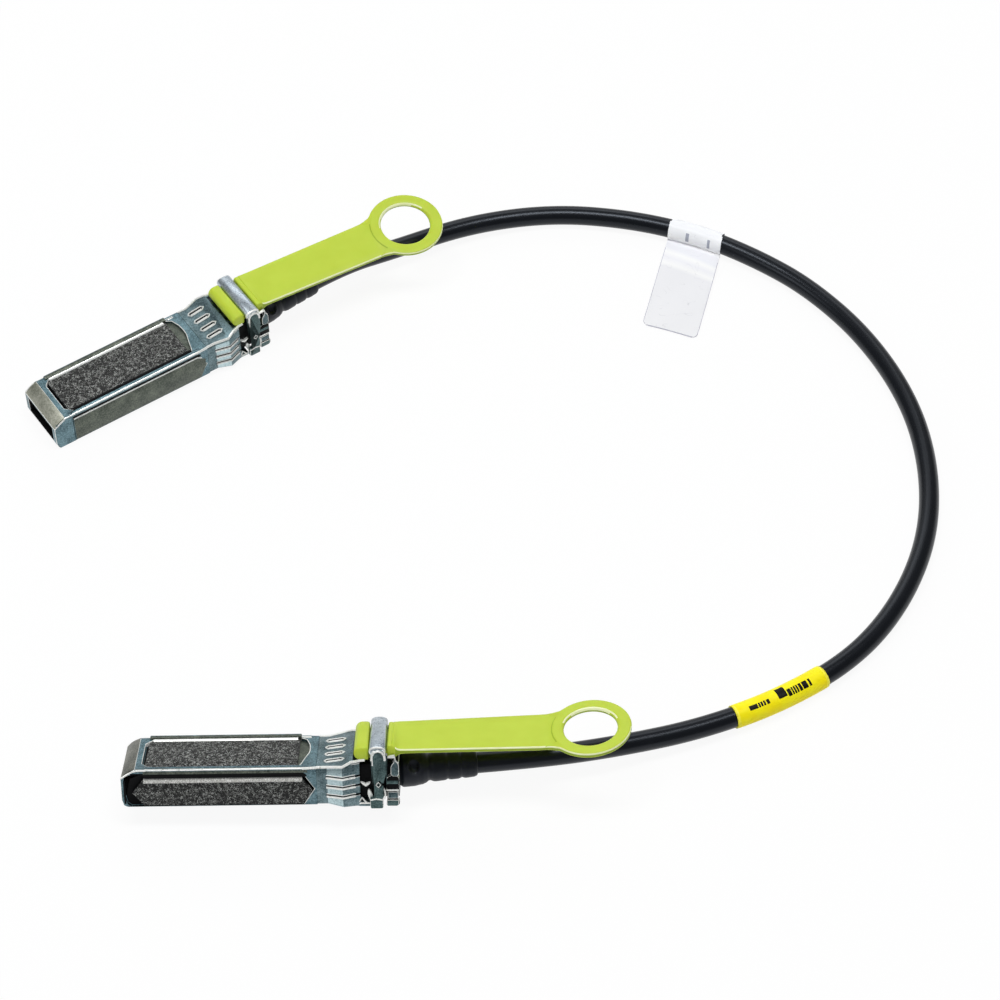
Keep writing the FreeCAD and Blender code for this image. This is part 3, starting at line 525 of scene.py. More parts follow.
# ------------------------------------------------------------------ yellow label and clear tag
def sleeve(name, start, end, radius, steps, around=48, thick=0.12):
    """A thin film wrapped round the cable from one distance (metres) to another."""
    form = bmesh.new()
    chart = form.loops.layers.uv.new("film")
    rings = []
    for i in range(steps + 1):
        spot, heading = along_line(start + (end - start) * i / steps)
        side = heading.cross(Vector((0, 0, 1))).normalized()
        up = side.cross(heading).normalized()
        r = radius if 0 < i < steps else radius - thick * 0.45
        ring = []
        for k in range(around):
            angle = 2 * math.pi * k / around
            ring.append(form.verts.new(spot + (side * math.cos(angle) + up * math.sin(angle)) * r * MM))
        rings.append(ring)
    for i in range(steps):
        for k in range(around):
            after = (k + 1) % around
            face = form.faces.new((rings[i][k], rings[i][after], rings[i + 1][after], rings[i + 1][k]))
            face.smooth = True
            for loop, (u, v) in zip(face.loops, ((i, k), (i, k + 1), (i + 1, k + 1), (i + 1, k))):
                loop[chart].uv = (u / steps, v / around)
    for i, inner in ((0, rings[0]), (steps, rings[-1])):
        spot = along_line(start + (end - start) * i / steps)[0]
        shrink = [form.verts.new(spot + (v.co - spot).normalized() * (CABLE_ROUND - 0.02) * MM)
                  for v in inner]
        for k in range(around):
            after = (k + 1) % around
            order = (inner[k], shrink[k], shrink[after], inner[after])
            form.faces.new(order if i == 0 else tuple(reversed(order)))
    mesh = bpy.data.meshes.new(name)
    form.to_mesh(mesh)
    form.free()
    settle(mesh)
    return mesh


def label_paint():
    """Yellow film with two groups of plain dark bars on the side that faces up and forward."""
    paint = Paint("label_film", ink(252, 232, 16), 0.4, 0.0, Specular_IOR_Level=0.16)
    along, round_ = paint.film_chart()

    def bars(spans, under, over):
        total = None
        for low, high in spans:
            one = paint.window(along, low, high)
            total = one if total is None else paint.sums("MAXIMUM", total, one)
        return paint.sums("MULTIPLY", total, paint.window(round_, under, over))

    small = bars(((0.141, 0.229), (0.237, 0.256), (0.264, 0.283), (0.291, 0.311),
                  (0.324, 0.354)), 0.160, 0.226)
    block = bars(((0.452, 0.545),), 0.158, 0.318)
    large = bars(((0.555, 0.594), (0.602, 0.620), (0.628, 0.646), (0.654, 0.672),
                  (0.682, 0.712), (0.722, 0.776), (0.793, 0.816)), 0.136, 0.242)
    large = paint.sums("MAXIMUM", large, block)
    film = paint.ramp(paint.clouds(3.0), (0.3, ink(255, 234, 10)), (0.7, ink(255, 245, 30)))
    # Painted highlight along the film's two rolled ends.
    rims = paint.sums("MAXIMUM", paint.sums("LESS_THAN", along, 0.028),
                      paint.sums("GREATER_THAN", along, 0.972))
    film = paint.blend(rims, film, ink(255, 244, 70))
    paint.colour(paint.blend(paint.sums("MAXIMUM", small, large), film, ink(8, 8, 4)))
    paint.bump(paint.clouds(1.4), 0.01)
    return paint.material


LABEL_LONG = 21.9
LABEL_ROUND = CABLE_ROUND + 0.32
low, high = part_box("yellow_label")
label_middle = nearest_distance((low + high) / 2) + 0.1 * MM
label_ends = (label_middle - LABEL_LONG / 2 * MM, label_middle + LABEL_LONG / 2 * MM)
label = add_piece("label_film", sleeve("label_film", *label_ends, LABEL_ROUND, 48), label_paint())
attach(label, "cable_set")
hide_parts("yellow_label")


def film_paint():
    """Milky clear film: more opaque where it is doubled round the cable, with bands of painted highlight
    across the wrap and faint scratches.
    """
    paint = Paint("clear_film", ink(244, 244, 247), 0.3, 0.0, Specular_IOR_Level=0.2)
    across, down = paint.film_chart()
    strokes = paint.sums("MAXIMUM", paint.window(across, 0.33, 0.39), paint.window(across, 0.74, 0.79))
    marks = paint.sums("MULTIPLY", paint.window(down, -0.018, 0.055), strokes)
    bent = paint.sums("SUBTRACT", down, paint.sums("MULTIPLY", across, 0.05))
    # Bands of painted highlight across the wrapped part of the film.
    bright = ink(255, 255, 255)
    tone = paint.ramp(bent, (0.0, ink(250, 251, 254)), (0.05, bright), (0.1, ink(246, 246, 251)),
                      (0.18, ink(244, 245, 250)), (0.22, bright), (0.27, ink(246, 246, 250)),
                      (0.33, bright), (0.37, ink(243, 243, 246)), (1.0, ink(246, 246, 248)))
    scratch = paint.sums("ABSOLUTE", paint.sums("SUBTRACT", paint.clouds(5.0, 1.0, 0.5, 1.2), 0.5), 0.0)
    scratch = paint.sums("MULTIPLY", paint.ramp(scratch, (0.0, 1.0), (0.006, 0.0)),
                         paint.ramp(paint.clouds(3.0, 2.0), (0.5, 0.0), (0.6, 1.0)))
    tone = paint.blend(paint.sums("MULTIPLY", scratch, 0.35), tone, ink(170, 170, 178))
    sides = paint.sums("MAXIMUM", paint.sums("LESS_THAN", across, 0.011),
                       paint.sums("GREATER_THAN", across, 0.989))
    border = paint.sums("MAXIMUM", paint.sums("GREATER_THAN", down, 0.993), sides)
    border = paint.sums("MULTIPLY", border, paint.sums("GREATER_THAN", down, 0.19))
    sheet = paint.blend(paint.sums("MULTIPLY", marks, 0.75), tone, ink(130, 136, 158))
    paint.colour(paint.blend(border, sheet, ink(196, 196, 208)))
    cover = paint.ramp(down, (0.0, 0.985), (0.2, 0.985), (0.34, 0.9), (1.0, 0.85))
    paint.link(cover, paint.shader.inputs["Alpha"])
    paint.bump(paint.clouds(2.4, 3.0), 0.012)
    return paint.material


TAG_WIDE = 13.0
TAG_LONG = 29.4
TAG_SHIFT = -10.8  # along the cable, from the CAD tag's far edge to where the photograph has it
TAG_SLACK = 0.24  # between the cable and the film's middle
TAG_CORNER = 1.6  # radius of the flag's lower corners
TAG_FILM = 0.16
INNER_TRIM = 0.6  # the doubled film is narrower, so only the front sheet's edges show


def build_tag():
    """One strip of film: over the cable, round it and back, then down to the floor as a flag."""
    low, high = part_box("clear_tag")
    hint = Vector(((low.x + high.x) / 2, high.y - 2.5 * MM, high.z - 2.5 * MM))
    station = nearest_distance(hint) + TAG_SHIFT * MM
    edge_a, edge_b = (along_line(station + step * TAG_WIDE / 2 * MM)[0] for step in (-1, 1))
    middle, heading = (edge_a + edge_b) / 2, edge_b - edge_a
    bend = along_line(station)[0] - middle
    ahead = -Vector((heading.x, heading.y, 0)).normalized()
    out = Vector((ahead.y, -ahead.x, 0))
    up = Vector((0, 0, 1))
    grip = CABLE_ROUND + TAG_SLACK

    def turned(degrees):
        return [(math.cos(a) * grip, math.sin(a) * grip) for a in map(math.radians, degrees)]

    wrap, back = turned(range(-38, 91, 8)), turned(range(98, 315, 8))
    start = wrap[0]
    floor = -middle.z / MM + TAG_FILM
    reach = TAG_LONG - 3.0
    flag = []
    for i in range(1, 25):
        share = i / 24
        sag = (1 - share) ** 2
        flag.append((start[0] + reach * share, floor + (start[1] - floor) * sag))
    form = bmesh.new()
    chart = form.loops.layers.uv.new("film")

    def skin(path, lift, spans, rounded):
        """A sheet along the path: spans gives the film's place from its top edge, 0 to 1."""
        columns = 16
        rows = []
        for (u, v), place in zip(path, spans):
            row = []
            lean = 0.165 * max(u, 0.0)
            left = (1.0 - place) * TAG_LONG
            trim = 0.0
            if rounded and left < TAG_CORNER:
                trim = TAG_CORNER - math.sqrt(max(TAG_CORNER ** 2 - (TAG_CORNER - left) ** 2, 0.0))
            for k in range(columns + 1):
                side = (k / columns - 0.5) * (TAG_WIDE if rounded else TAG_WIDE - INNER_TRIM)
                side = max(-TAG_WIDE / 2 + trim, min(TAG_WIDE / 2 - trim, side))
                ripple = 0.05 * math.sin(side * 0.5 + u * 0.35) * min(1.0, max(u - 3.0, 0.0) / 6.0)
                spot = middle + bend * (1 - (2 * side / TAG_WIDE) ** 2)
                turn = -0.06 * side * min(1.0, max(u - 2.0, 0.0) / 8.0)
                spot = spot + (ahead * (side + lean) + out * (u + turn) + up * (v + lift + ripple)) * MM
                row.append(form.verts.new(spot))
            rows.append((row, place))
        for (near, from_top), (far, to_top) in zip(rows, rows[1:]):
            for k in range(columns):
                face = form.faces.new((near[k], near[k + 1], far[k + 1], far[k]))
                corners = ((k, from_top), (k + 1, from_top), (k + 1, to_top), (k, to_top))
                for loop, (u, v) in zip(face.loops, corners):
                    loop[chart].uv = (u / columns, v)

    path = list(reversed(wrap)) + flag
    long = [0.0]
    for (u0, v0), (u1, v1) in zip(path, path[1:]):
        long.append(long[-1] + math.hypot(u1 - u0, v1 - v0))
    fine_path, fine_place = [], []
    total = long[-1]
    stations = [total * i / 60 for i in range(58)]
    stations += [total - 1.2 * (1 - math.sin(math.radians(90 * i / 8))) for i in range(9)]
    for far in sorted(stations):
        for i in range(1, len(long)):
            if long[i] >= far - 1e-9:
                break
        share = (far - long[i - 1]) / max(long[i] - long[i - 1], 1e-9)
        (u0, v0), (u1, v1) = path[i - 1], path[i]
        fine_path.append((u0 + (u1 - u0) * share, v0 + (v1 - v0) * share))
        fine_place.append(1.0 - (total - far) / TAG_LONG)
    skin(fine_path, 0.0, fine_place, True)
    loop = [wrap[-1]] + back
    tail = [(u, v - 0.05) for u, v in flag[:5]]
    skin(loop + [start] + tail, -0.03, [-0.1] * (len(loop) + 1) + [0.3] * len(tail), False)
    mesh = bpy.data.meshes.new("clear_film")
    form.to_mesh(mesh)
    form.free()
    film = film_paint()
    rim = soft("film_rim", ink(176, 176, 190), ink(160, 160, 176), 0.3, 2.0)
    piece = add_piece("clear_film", mesh, film, rim)
    sheet = piece.modifiers.new("sheet", "SOLIDIFY")
    sheet.thickness = TAG_FILM * MM
    sheet.offset = 0.0
    sheet.material_offset_rim = 1
    apply_modifiers(piece)
    smooth(piece.data, 50.0)
    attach(piece, "cable_set")
    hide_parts("clear_tag")
    return piece


film = build_tag()


# ------------------------------------------------------------------ plug body and pads
HALF, TOP = 6.7, 8.5
# Plug b's nose takes the lighter copy of the nose metal: painted light.
NOSES = {"a": NOSE, "b": NOSE_PAINTED_LIGHT}


def shell_edges(spot, along):
    """The long upper edges get the widest rounding, the rails' inner edges less, the rest least; these
    roundings take the painted highlight.
    """
    if abs(spot.y) > HALF - 0.3 and spot.z > TOP - 0.5 and abs(along.x) > 0.9 and spot.x > 2.0:
        return 1.0
    if spot.z > TOP - 0.2 and abs(along.x) > 0.9:
        return 0.35
    return 0.22


def shell_faces(spot, turn, index):
    """Painted highlights on the upper edges and on the top recess's walls that face the near side, a plain
    nose, and painted shade wherever the shell is hollow or recessed.
    """
    # Painted shade inside the hollow shell.
    if abs(spot.y) < 5.5 and 1.3 < spot.z < 6.3 and turn.x > -0.9 and spot.x < 39:
        return 3
    # Painted highlight on the near outer top edge's rounding only.
    if abs(spot.y) > HALF - 0.5 and 7.9 < spot.z < TOP + 0.05 and abs(turn.y) > 0.2 and turn.z > 0.2:
        return 1 if spot.y < 0 else 0
    # A strip of painted shade on the bevel by the near rail's inner edge.
    if index == 1 and spot.z > TOP - 0.7 and -6.0 < spot.y < -5.2 and abs(turn.y) > 0.3:
        return 3
    if index == 1:
        # Other bevels: along the top, at the nose front and at the rear points they take the painted
        # highlight, save the outer top corners.
        outer = abs(spot.y) > HALF - 0.75 and spot.z > TOP - 0.7
        highlighted = (spot.z > TOP - 0.7 and spot.x < 38.5) or (spot.x < 0.6 and turn.x < -0.3)
        point = 36.0 < spot.x < 39.0 and abs(spot.y) > HALF - 0.4 and 0.3 < spot.z < 7.4
        return 1 if (highlighted or point) and not outer else 0
    if turn.x < -0.25 and turn.z > 0.25 and spot.x < 3.2:
        return 2
    # Painted shade on the side recesses' walls and floors.
    if 0.8 < spot.x < 38.9 and abs(spot.y) < HALF - 0.3 and abs(turn.y) > 0.8 and spot.z < 7.4:
        return 3
    if 0.8 < spot.x < 38.9 and abs(spot.y) > HALF - 0.8 and abs(turn.z) > 0.5 and spot.z < 7.5:
        return 3
    # Top recess walls: painted highlight on those facing the near side, painted shade on the rest and on
    # the floor below.
    if abs(spot.y) < 5.9 and TOP - 1.1 < spot.z < TOP + 0.3 and abs(turn.y) > 0.5:
        return 1 if turn.y < 0 else 3
    if abs(spot.y) < 5.8 and TOP - 1.1 < spot.z < TOP - 0.5 and turn.z > 0.8:
        return 3
    return 0


def recess_finish(tag):
    """The top recess: its rear end with a lip of painted highlight, a slope by the far rail painted as a
    highlight, and that rail's raised back; on plug b, a strip of painted shade by the near rail.
    """
    form = Form()
    far = [(35.6, 5.6), (36.8, 4.8), (37.45, 2.9), (37.6, 1.3)]
    near = [(35.9, -5.6), (36.15, -5.0), (36.8, -2.7), (37.5, -0.6), (37.6, 0.3)]
    for line in (far, near):
        edge = math.copysign(5.8, line[0][1])
        corner = line + [(37.8, line[-1][1]), (37.8, edge), (line[0][0], edge)]
        form.prism(corner, TOP - 0.88, TOP + 0.012, 0, axis="z")
    lip = [(x, y, TOP + 0.03) for x, y in far + near[::-1]]
    form.ring_tube(lip, 0.1, 1)
    sill = [(35.4, -5.4), (37.5, -5.4), (37.5, 5.4), (35.4, 5.4)]
    form.prism(sill, TOP - 0.89, TOP - 0.55, 2, axis="z")
    slope = [(4.95, TOP - 0.1), (5.02, TOP + 0.03), (5.45, TOP + 0.24), (5.5, TOP - 0.3)]
    form.prism(slope, 5.6, 34.9, 1, axis="x")
    form.prism([(5.5, TOP - 0.2), (5.56, TOP + 0.42), (5.8, TOP + 0.52), (6.3, TOP + 0.52),
                (6.5, TOP + 0.4), (6.62, TOP - 0.1)], 4.9, 35.6, 2, axis="x")
    form.ring_tube([(4.95, 6.38, TOP + 0.49), (20.0, 6.38, TOP + 0.49), (35.5, 6.38, TOP + 0.49)], 0.07, 0)
    form.ring_tube([(36.4, -6.56, TOP - 0.2), (38.0, -6.5, TOP - 0.16), (39.5, -6.4, TOP - 0.1)], 0.27, 1)
    # On plug b, a strip of painted shade by the near rail.
    if tag == "b":
        gap = [(5.3, -5.4), (36.1, -5.4), (36.1, -4.92), (5.3, -4.92)]
        form.prism(gap, TOP - 0.5, TOP - 0.03, 3, axis="z")
    form.finish("recess_end_" + tag, tag, "cable_set", [ZINC, PAINTED_HIGHLIGHT, OLIVE, PAINTED_SHADE])


def flank_bands(tag):
    """Above each side recess the wall is grained over a gap painted dark as shade, and the recess runs out
    at the nose in painted shade, under a rim of painted highlight.
    """
    form = Form()
    for side in (-1, 1):
        if tag == "b" and side < 0:
            continue
        low, high = sorted((side * (HALF - 0.2), side * (HALF + 0.012)))
        form.prism([(4.6, 7.45), (4.6, 8.06), (37.4, 8.06), (37.4, 7.45)], low, high, 0)
        low, high = sorted((side * (HALF - 0.2), side * (HALF + 0.004)))
        form.prism([(4.6, 6.52), (4.6, 7.45), (36.6, 7.45), (37.35, 6.9), (37.05, 6.52)], low, high, 1)
        mouth = [(0.5, 0.8), (0.5, 5.9), (2.2, 7.7), (4.6, 7.7), (4.6, 7.2), (0.9, 7.2), (0.9, 0.8)]
        form.prism(mouth, low, high, 1)
        rim = [(0.08, side * (HALF - 0.08), 6.55), (1.3, side * (HALF - 0.04), 7.42),
               (2.5, side * (HALF - 0.05), 8.1), (3.4, side * (HALF - 0.1), TOP - 0.22),
               (5.2, side * (HALF - 0.1), TOP - 0.2)]
        form.ring_tube(rim, 0.2, 2)
    form.finish("flank_band_" + tag, tag, "cable_set", [OLIVE, PAINTED_SHADE, PAINTED_HIGHLIGHT])


def plain_flank(tag):
    """Near side of plug b: one flat panel with a painted highlight along its upper edge, pointed at the
    rear.
    """
    form = Form()
    panel = [(4.75, 0.3), (4.75, 6.9), (36.6, 6.9), (38.55, 5.6), (38.55, 3.4), (37.0, 0.3)]
    form.prism(panel, -HALF - 0.03, -HALF + 0.6, 0)
    piece = form.finish("flank_panel_" + tag, tag, "cable_set", [OLIVE, ZINC], 0.12, 1)
    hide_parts("near_pad_" + tag)
    cheek = Form()
    cheek.prism([(0.7, 0.1), (0.7, 7.35), (4.62, 7.35), (4.62, 0.1)], -HALF, -HALF + 0.7, 0)
    # Above the panel, a strip of painted shade; the beads along the panel's top and the nose are painted
    # highlights.
    gap = [(4.75, 6.9), (4.75, 7.85), (36.9, 7.85), (37.6, 7.3), (36.9, 6.9)]
    cheek.prism(gap, -HALF - 0.006, -HALF + 0.5, 2)
    upper = ((4.9, 7.02), (20.0, 7.02), (36.5, 7.02), (37.5, 6.4))
    cheek.ring_tube([(x, -HALF - 0.02, z) for x, z in upper], 0.17, 1)
    nose_line = [(0.05, -HALF + 0.1, 6.5), (1.3, -HALF + 0.05, 7.4), (2.9, -HALF + 0.1, TOP - 0.2)]
    cheek.ring_tube(nose_line, 0.17, 1)
    cheek.finish("flank_cheek_" + tag, tag, "cable_set", [ZINC, PAINTED_HIGHLIGHT, PAINTED_SHADE])


def nose_cap(tag):
    """The nose's upper edge is rounded, not cut flat."""
    form = Form()
    outline = [(0.03, TOP - 1.95)]
    for i in range(9):
        share = i / 8
        bulge = 0.30 * math.sin(math.pi * share)
        outline.append((0.04 + 2.85 * share - bulge * 0.56, TOP - 1.93 + 1.93 * share + bulge * 0.83))
    outline.append((2.9, TOP - 0.02))
    form.prism(outline, -HALF + 0.32, HALF - 0.32, 0)
    form.finish("nose_cap_" + tag, tag, "cable_set", [NOSES[tag]], 0.06, 0)


def pad_ledge(tag):
    """The side inlays' sloping upper ledge, its grain painted pale as a highlight where the light catches
    it.
    """
    for side in (-1, 1) if tag == "a" else (1,):
        form = Form()
        face, back = side * (HALF - 0.05), side * (HALF - 0.4)
        deep = side * (HALF - 0.74)
        outline = [(face, 5.35), (face, 5.92), (back, 6.56), (deep, 6.56), (deep, 5.35)]
        form.prism(outline, 4.55, 36.3, 0, axis="x")
        name = "pad_ledge_%s_%s" % ("near" if side < 0 else "far", tag)
        form.finish(name, tag, "cable_set", [LEDGE, PAINTED_HIGHLIGHT], 0.05, 1, segments=1)


# ------------------------------------------------------------------ spring collar
SIDE_SWELL = ((39, 0.0), (41.3, 0.0), (44.45, 0.88), (46.1, 0.2), (48.5, -0.48))
TOP_SWELL = ((39, 0.0), (41.3, 0.0), (44.45, 0.45), (46.1, 1.15), (48.5, 1.1))


def swell(base, knots, x):
    """How far out the sheet stands at a distance from the nose, between its bend lines."""
    for (x0, s0), (x1, s1) in zip(knots, knots[1:]):
        if x <= x1:
            return base + s0 + (s1 - s0) * (x - x0) / (x1 - x0)
    return base + knots[-1][1]


def collar_side(x):
    return swell(HALF, SIDE_SWELL, x)


def collar_top(x):
    return swell(TOP, TOP_SWELL, x)


# Rounded edges past x 45.6 that face up take the painted highlight; side faces between the bends take the
# lighter spring copy, painted light; faces inside the collar take the painted shade.
def collar_faces(spot, turn, index):
    if index == 1:
        return 1 if spot.x > 45.6 and turn.z > 0.2 else 0
    if abs(turn.y) > 0.5 and 41.0 < spot.x < 44.5:
        return 2
    if abs(spot.y) < HALF - 0.9 and spot.z < TOP - 0.3 and spot.z > 0.3:
        return 3
    return 0


def collar_rims(tag):
    """Pressed lips round the collar's slots and along its side slots, drawn as beads of painted highlight
    beside lines of painted shade, and a painted highlight along its upper edges.
    """
    form = Form()
    for middle in (-4.1, -1.38, 1.38, 4.1):
        hexagon = [(40.7, 0.0), (41.15, 0.52), (44.1, 0.52), (44.65, 0.0), (44.1, -0.52), (41.15, -0.52)]
        path = []
        for (x0, y0), (x1, y1) in zip(hexagon, hexagon[1:] + hexagon[:1]):
            steps = 5 if abs(x1 - x0) > 1 else 2
            for i in range(steps):
                x, y = x0 + (x1 - x0) * i / steps, y0 + (y1 - y0) * i / steps
                path.append((x, middle + y, collar_top(x) + 0.06))
        form.ring_tube(path, 0.17, closed=True)
        gap = [(x, middle + 0.16, collar_top(x) + 0.02) for x in (41.2, 42.2, 43.2, 44.1)]
        form.ring_tube(gap, 0.17, 1)
        lip = [(x, middle - 0.2, collar_top(x) + 0.03) for x in (41.3, 42.2, 43.2, 44.0)]
        form.ring_tube(lip, 0.15)
    for side in (-1, 1):
        for height in (6.48, 4.33, 2.25):
            stations = (41.1, 42.2, 43.3, 44.45, 45.3, 46.1, 46.9)
            for lift, rise, radius, index in ((0.05, -0.3, 0.24, 0), (0.01, 0.3, 0.09, 0),
                                              (0.0, 0.02, 0.11, 1)):
                line = [(x, side * (collar_side(x) + lift), height + rise) for x in stations]
                form.ring_tube(line, radius, index)
        edge = [(x, side * (collar_side(x) - 0.36), collar_top(x) - 0.1)
                for x in (39.3, 41.3, 42.9, 44.45, 45.2, 45.7, 46.1, 46.9)]
        edge += [(47.8, side * 5.95, 9.62), (48.9, side * 5.9, 9.68)]
        form.ring_tube(edge, 0.3)
    form.finish("collar_rims_" + tag, tag, "cable_set", [PAINTED_HIGHLIGHT, PAINTED_SHADE])


# ------------------------------------------------------------------ latch end
# Faces short of the ears and faces turned sideways take the painted shade; rounded edges not turned fully
# sideways take the painted highlight.
def frame_faces(spot, turn, index):
    if spot.x < 53.0 or abs(turn.y) > 0.7:
        return 2
    if index == 1:
        return 1 if abs(turn.y) < 0.95 else 0
    return 0


def latch_details(tag):
    """Bent leaves, roll, step and foot of the cast frame, on both sides of the bail's legs. The tongue,
    step, leaves, spur and beads and the rounded edges are painted highlights; the foot and roll are painted
    shade.
    """
    for side in (-1, 1):
        name = "near" if side < 0 else "far"
        form = Form()
        tongue = [(53.3, 9.95), (53.45, 10.35), (54.85, 10.6), (55.0, 10.1), (54.7, 9.9)]
        hook = [(54.75, 9.9), (55.0, 10.1), (55.1, 9.2), (55.5, 8.8), (55.65, 8.2), (55.62, 6.3),
                (55.35, 5.8), (54.35, 5.8), (53.95, 6.3), (54.0, 7.9), (54.25, 8.5), (54.6, 8.9)]
        form.prism(tongue, side * 5.3, side * 5.86, 1)
        form.prism(hook, side * 5.3, side * 5.86, 0)
        form.prism([(53.2, 0.75), (53.2, 2.3), (55.4, 2.3), (55.4, 0.75)], side * 5.2, side * 5.84, 0)
        form.prism([(52.95, 2.45), (52.95, 2.85), (55.5, 2.85), (55.5, 2.45)], side * 5.2, side * 5.88, 1)
        sole = -1.0 if side < 0 else -0.1
        foot = [(52.95, sole + 0.2), (53.0, 0.3), (53.2, 0.45), (55.25, 0.45), (55.45, 0.25),
                (55.45, sole + 0.3), (55.1, sole), (53.25, sole)]
        form.prism(foot, side * 5.2, side * 5.88, 2)
        form.finish("frame_ear_%s_%s" % (name, tag), tag, "cable_set",
                    [FRAME, PAINTED_HIGHLIGHT, LEG_PAINTED_SHADE], 0.16, 1)
        roll = Form()
        arc = [(side * (4.95 + 0.92 * math.cos(a)), 4.45 + 1.05 * math.sin(a))
               for a in map(math.radians, range(-90, 91, 15))]
        roll.prism(arc, 53.05, 55.4, 0, axis="x")
        for place in (53.5, 54.3, 55.1):
            roll.ring_tube([(place - 0.25, side * 5.62, 5.4), (place + 0.2, side * 5.6, 5.45)], 0.16, 1)
        roll.finish("frame_roll_%s_%s" % (name, tag), tag, "cable_set", [LEG_PAINTED_SHADE, PAINTED_HIGHLIGHT])
        leaf = Form()
        outline = []
        for i in range(16):
            angle = 2 * math.pi * i / 16
            u, v = 0.44 * math.cos(angle), 1.45 * math.sin(angle)
            outline.append((49.78 + u * 0.96 - v * 0.24, 1.55 + u * 0.24 + v * 0.96))
        leaf.prism(outline, side * 5.6, side * 6.05, 0)
        leaf.prism([(47.9, 4.75), (48.35, 4.2), (48.95, 3.75), (49.5, 4.15), (49.85, 4.6),
                    (49.2, 4.5), (48.9, 4.3), (48.5, 4.6)], side * 5.6, side * 6.15, 0)
        peak = ((47.15, 0.0), (48.12, 1.25), (48.85, 0.1))
        leaf.ring_tube([(x, side * 6.15, z) for x, z in peak], 0.2)
        base = ((46.95, 6.15, -0.08), (48.0, 6.2, 0.0), (49.9, 6.2, -0.02))
        leaf.ring_tube([(x, side * y, z) for x, y, z in base], 0.17)
        leaf.finish("latch_leaf_%s_%s" % (name, tag), tag, "cable_set", [PAINTED_HIGHLIGHT])
        spur = Form()
        crescent = [(52.5, 3.4), (52.8, 3.0), (52.98, 2.1), (52.8, 1.2), (52.45, 0.85), (52.6, 1.5),
                    (52.66, 2.3)]
        spur.prism(crescent, side * 6.0, side * 6.5, 0)
        sole_line = ((49.75, 6.7, 0.95), (51.0, 6.74, 1.2), (52.3, 6.7, 0.95))
        spur.ring_tube([(x, side * y, z) for x, y, z in sole_line], 0.17)
        arch = ((50.3, 9.9), (50.35, 10.9), (50.8, 11.75), (51.6, 12.05), (52.4, 11.75),
                (52.85, 10.9), (52.92, 9.9))
        spur.ring_tube([(x, side * 6.6, z) for x, z in arch], 0.27)
        spur.finish("bail_spur_%s_%s" % (name, tag), tag, "pull_" + tag, [PAINTED_HIGHLIGHT])
    sill = Form()
    sill.prism([(45.5, -0.5), (47.9, -0.25), (49.7, -0.25), (49.7, -0.9), (47.8, -0.9),
                (46.0, -0.65)], -5.9, 1.0, 0)
    sill.finish("latch_sill_" + tag, tag, "cable_set", [SPRING, PAINTED_HIGHLIGHT], 0.08, 0)


def bail_edges(spot, along):
    """The legs' outer outline is well rounded, their foot and inner side hardly."""
    if spot.z < 10.6 and (abs(spot.y) < HALF - 0.5 or abs(along.y) > 0.7):
        return 0.15
    return 0.35 if spot.z < 1.7 else 1.0


LEG_INNER = 5.93


def clear_legs(bail, tag):
    """No rounded edge of the legs reaches in past their inner faces, which slide by the ears."""
    to_plug = PLUG[tag].inverted()
    for vertex in bail.data.vertices:
        spot = to_plug @ vertex.co
        if spot.z < 10.7 and 5.5 < abs(spot.y) < LEG_INNER:
            spot.y = math.copysign(LEG_INNER, spot.y)
            vertex.co = PLUG[tag] @ spot


# The bar's upward faces keep the lighter bail copy; side-facing and lower faces take the darker copy,
# painted shade; rounded edges high on the bar and low at the foot take the painted highlight.
def bail_faces(spot, turn, index):
    if index == 1:
        return 1 if spot.z > 9.8 or spot.z < 1.4 else 2
    return 2 if abs(turn.y) > 0.6 or spot.z < 10.5 else 0


def bail_roll(tag):
    """The bail's bar is rolled: round on top, with its turned ends above the legs painted bright as
    highlights.
    """
    form = Form()
    outline = []
    for i in range(28):
        angle = 2 * math.pi * i / 28
        u, v = (math.copysign(abs(w) ** 0.85, w) for w in (math.cos(angle), math.sin(angle)))
        outline.append((51.46 + u * 1.7, 11.78 + v * 1.06))
    form.prism(outline, -6.5, 6.5, 0)
    form.finish("bail_roll_" + tag, tag, "pull_" + tag, [BAIL, PAINTED_HIGHLIGHT], 0.3, 1,
                angle=50.0)
    # A diamond outline on each leg in painted highlight.
    mark = Form()
    for side in (-1, 1):
        diamond = [(51.5, 5.0), (52.0, 4.42), (51.5, 3.84), (51.0, 4.42)]
        path = []
        for (x0, z0), (x1, z1) in zip(diamond, diamond[1:] + diamond[:1]):
            path += [(x0 + (x1 - x0) * i / 3, side * 6.74, z0 + (z1 - z0) * i / 3) for i in range(3)]
        mark.ring_tube(path, 0.11, closed=True)
    mark.finish("bail_mark_" + tag, tag, "pull_" + tag, [PAINTED_HIGHLIGHT])


# ------------------------------------------------------------------ lime pull tab
TWIST = {"a": 12.5, "b": 10.4}
SWEEP = {"a": 0.5, "b": -3.6}
RING_X, RING_OUT, RING_HOLE, NECK = 94.0, 8.25, 5.42, 6.0
STRAP_HALF, STRAP_LEVEL = 5.0, 11.45
STRAP_FLAT = 54.9  # from here on the strap has its painted-highlight edge and painted-shade side
CLIMB = 0.746  # share of the strap over which it climbs and twists


def tab_spot(tag, x, y, z):
    """Carries a point of the flat tab to where the twisted, swept strap holds it."""
    share = min(max((x - 54.6) / 39.4, 0.0), 1.3)
    climbed = min(share / CLIMB, 1.0)
    rise = STRAP_LEVEL + (0.5 * climbed + 0.65 * max(share - CLIMB, 0.0) / 0.254)
    start = min(max((x - 54.2) / 1.6, 0.0), 1.0)
    turn = math.radians(TWIST[tag]) * (0.5 * start * start * (3 - 2 * start) + 0.5 * climbed)
    lift = z - STRAP_LEVEL
    across = SWEEP[tag] * share
    return Vector((x, across + y * math.cos(turn) - lift * math.sin(turn),
                   rise + y * math.sin(turn) + lift * math.cos(turn)))


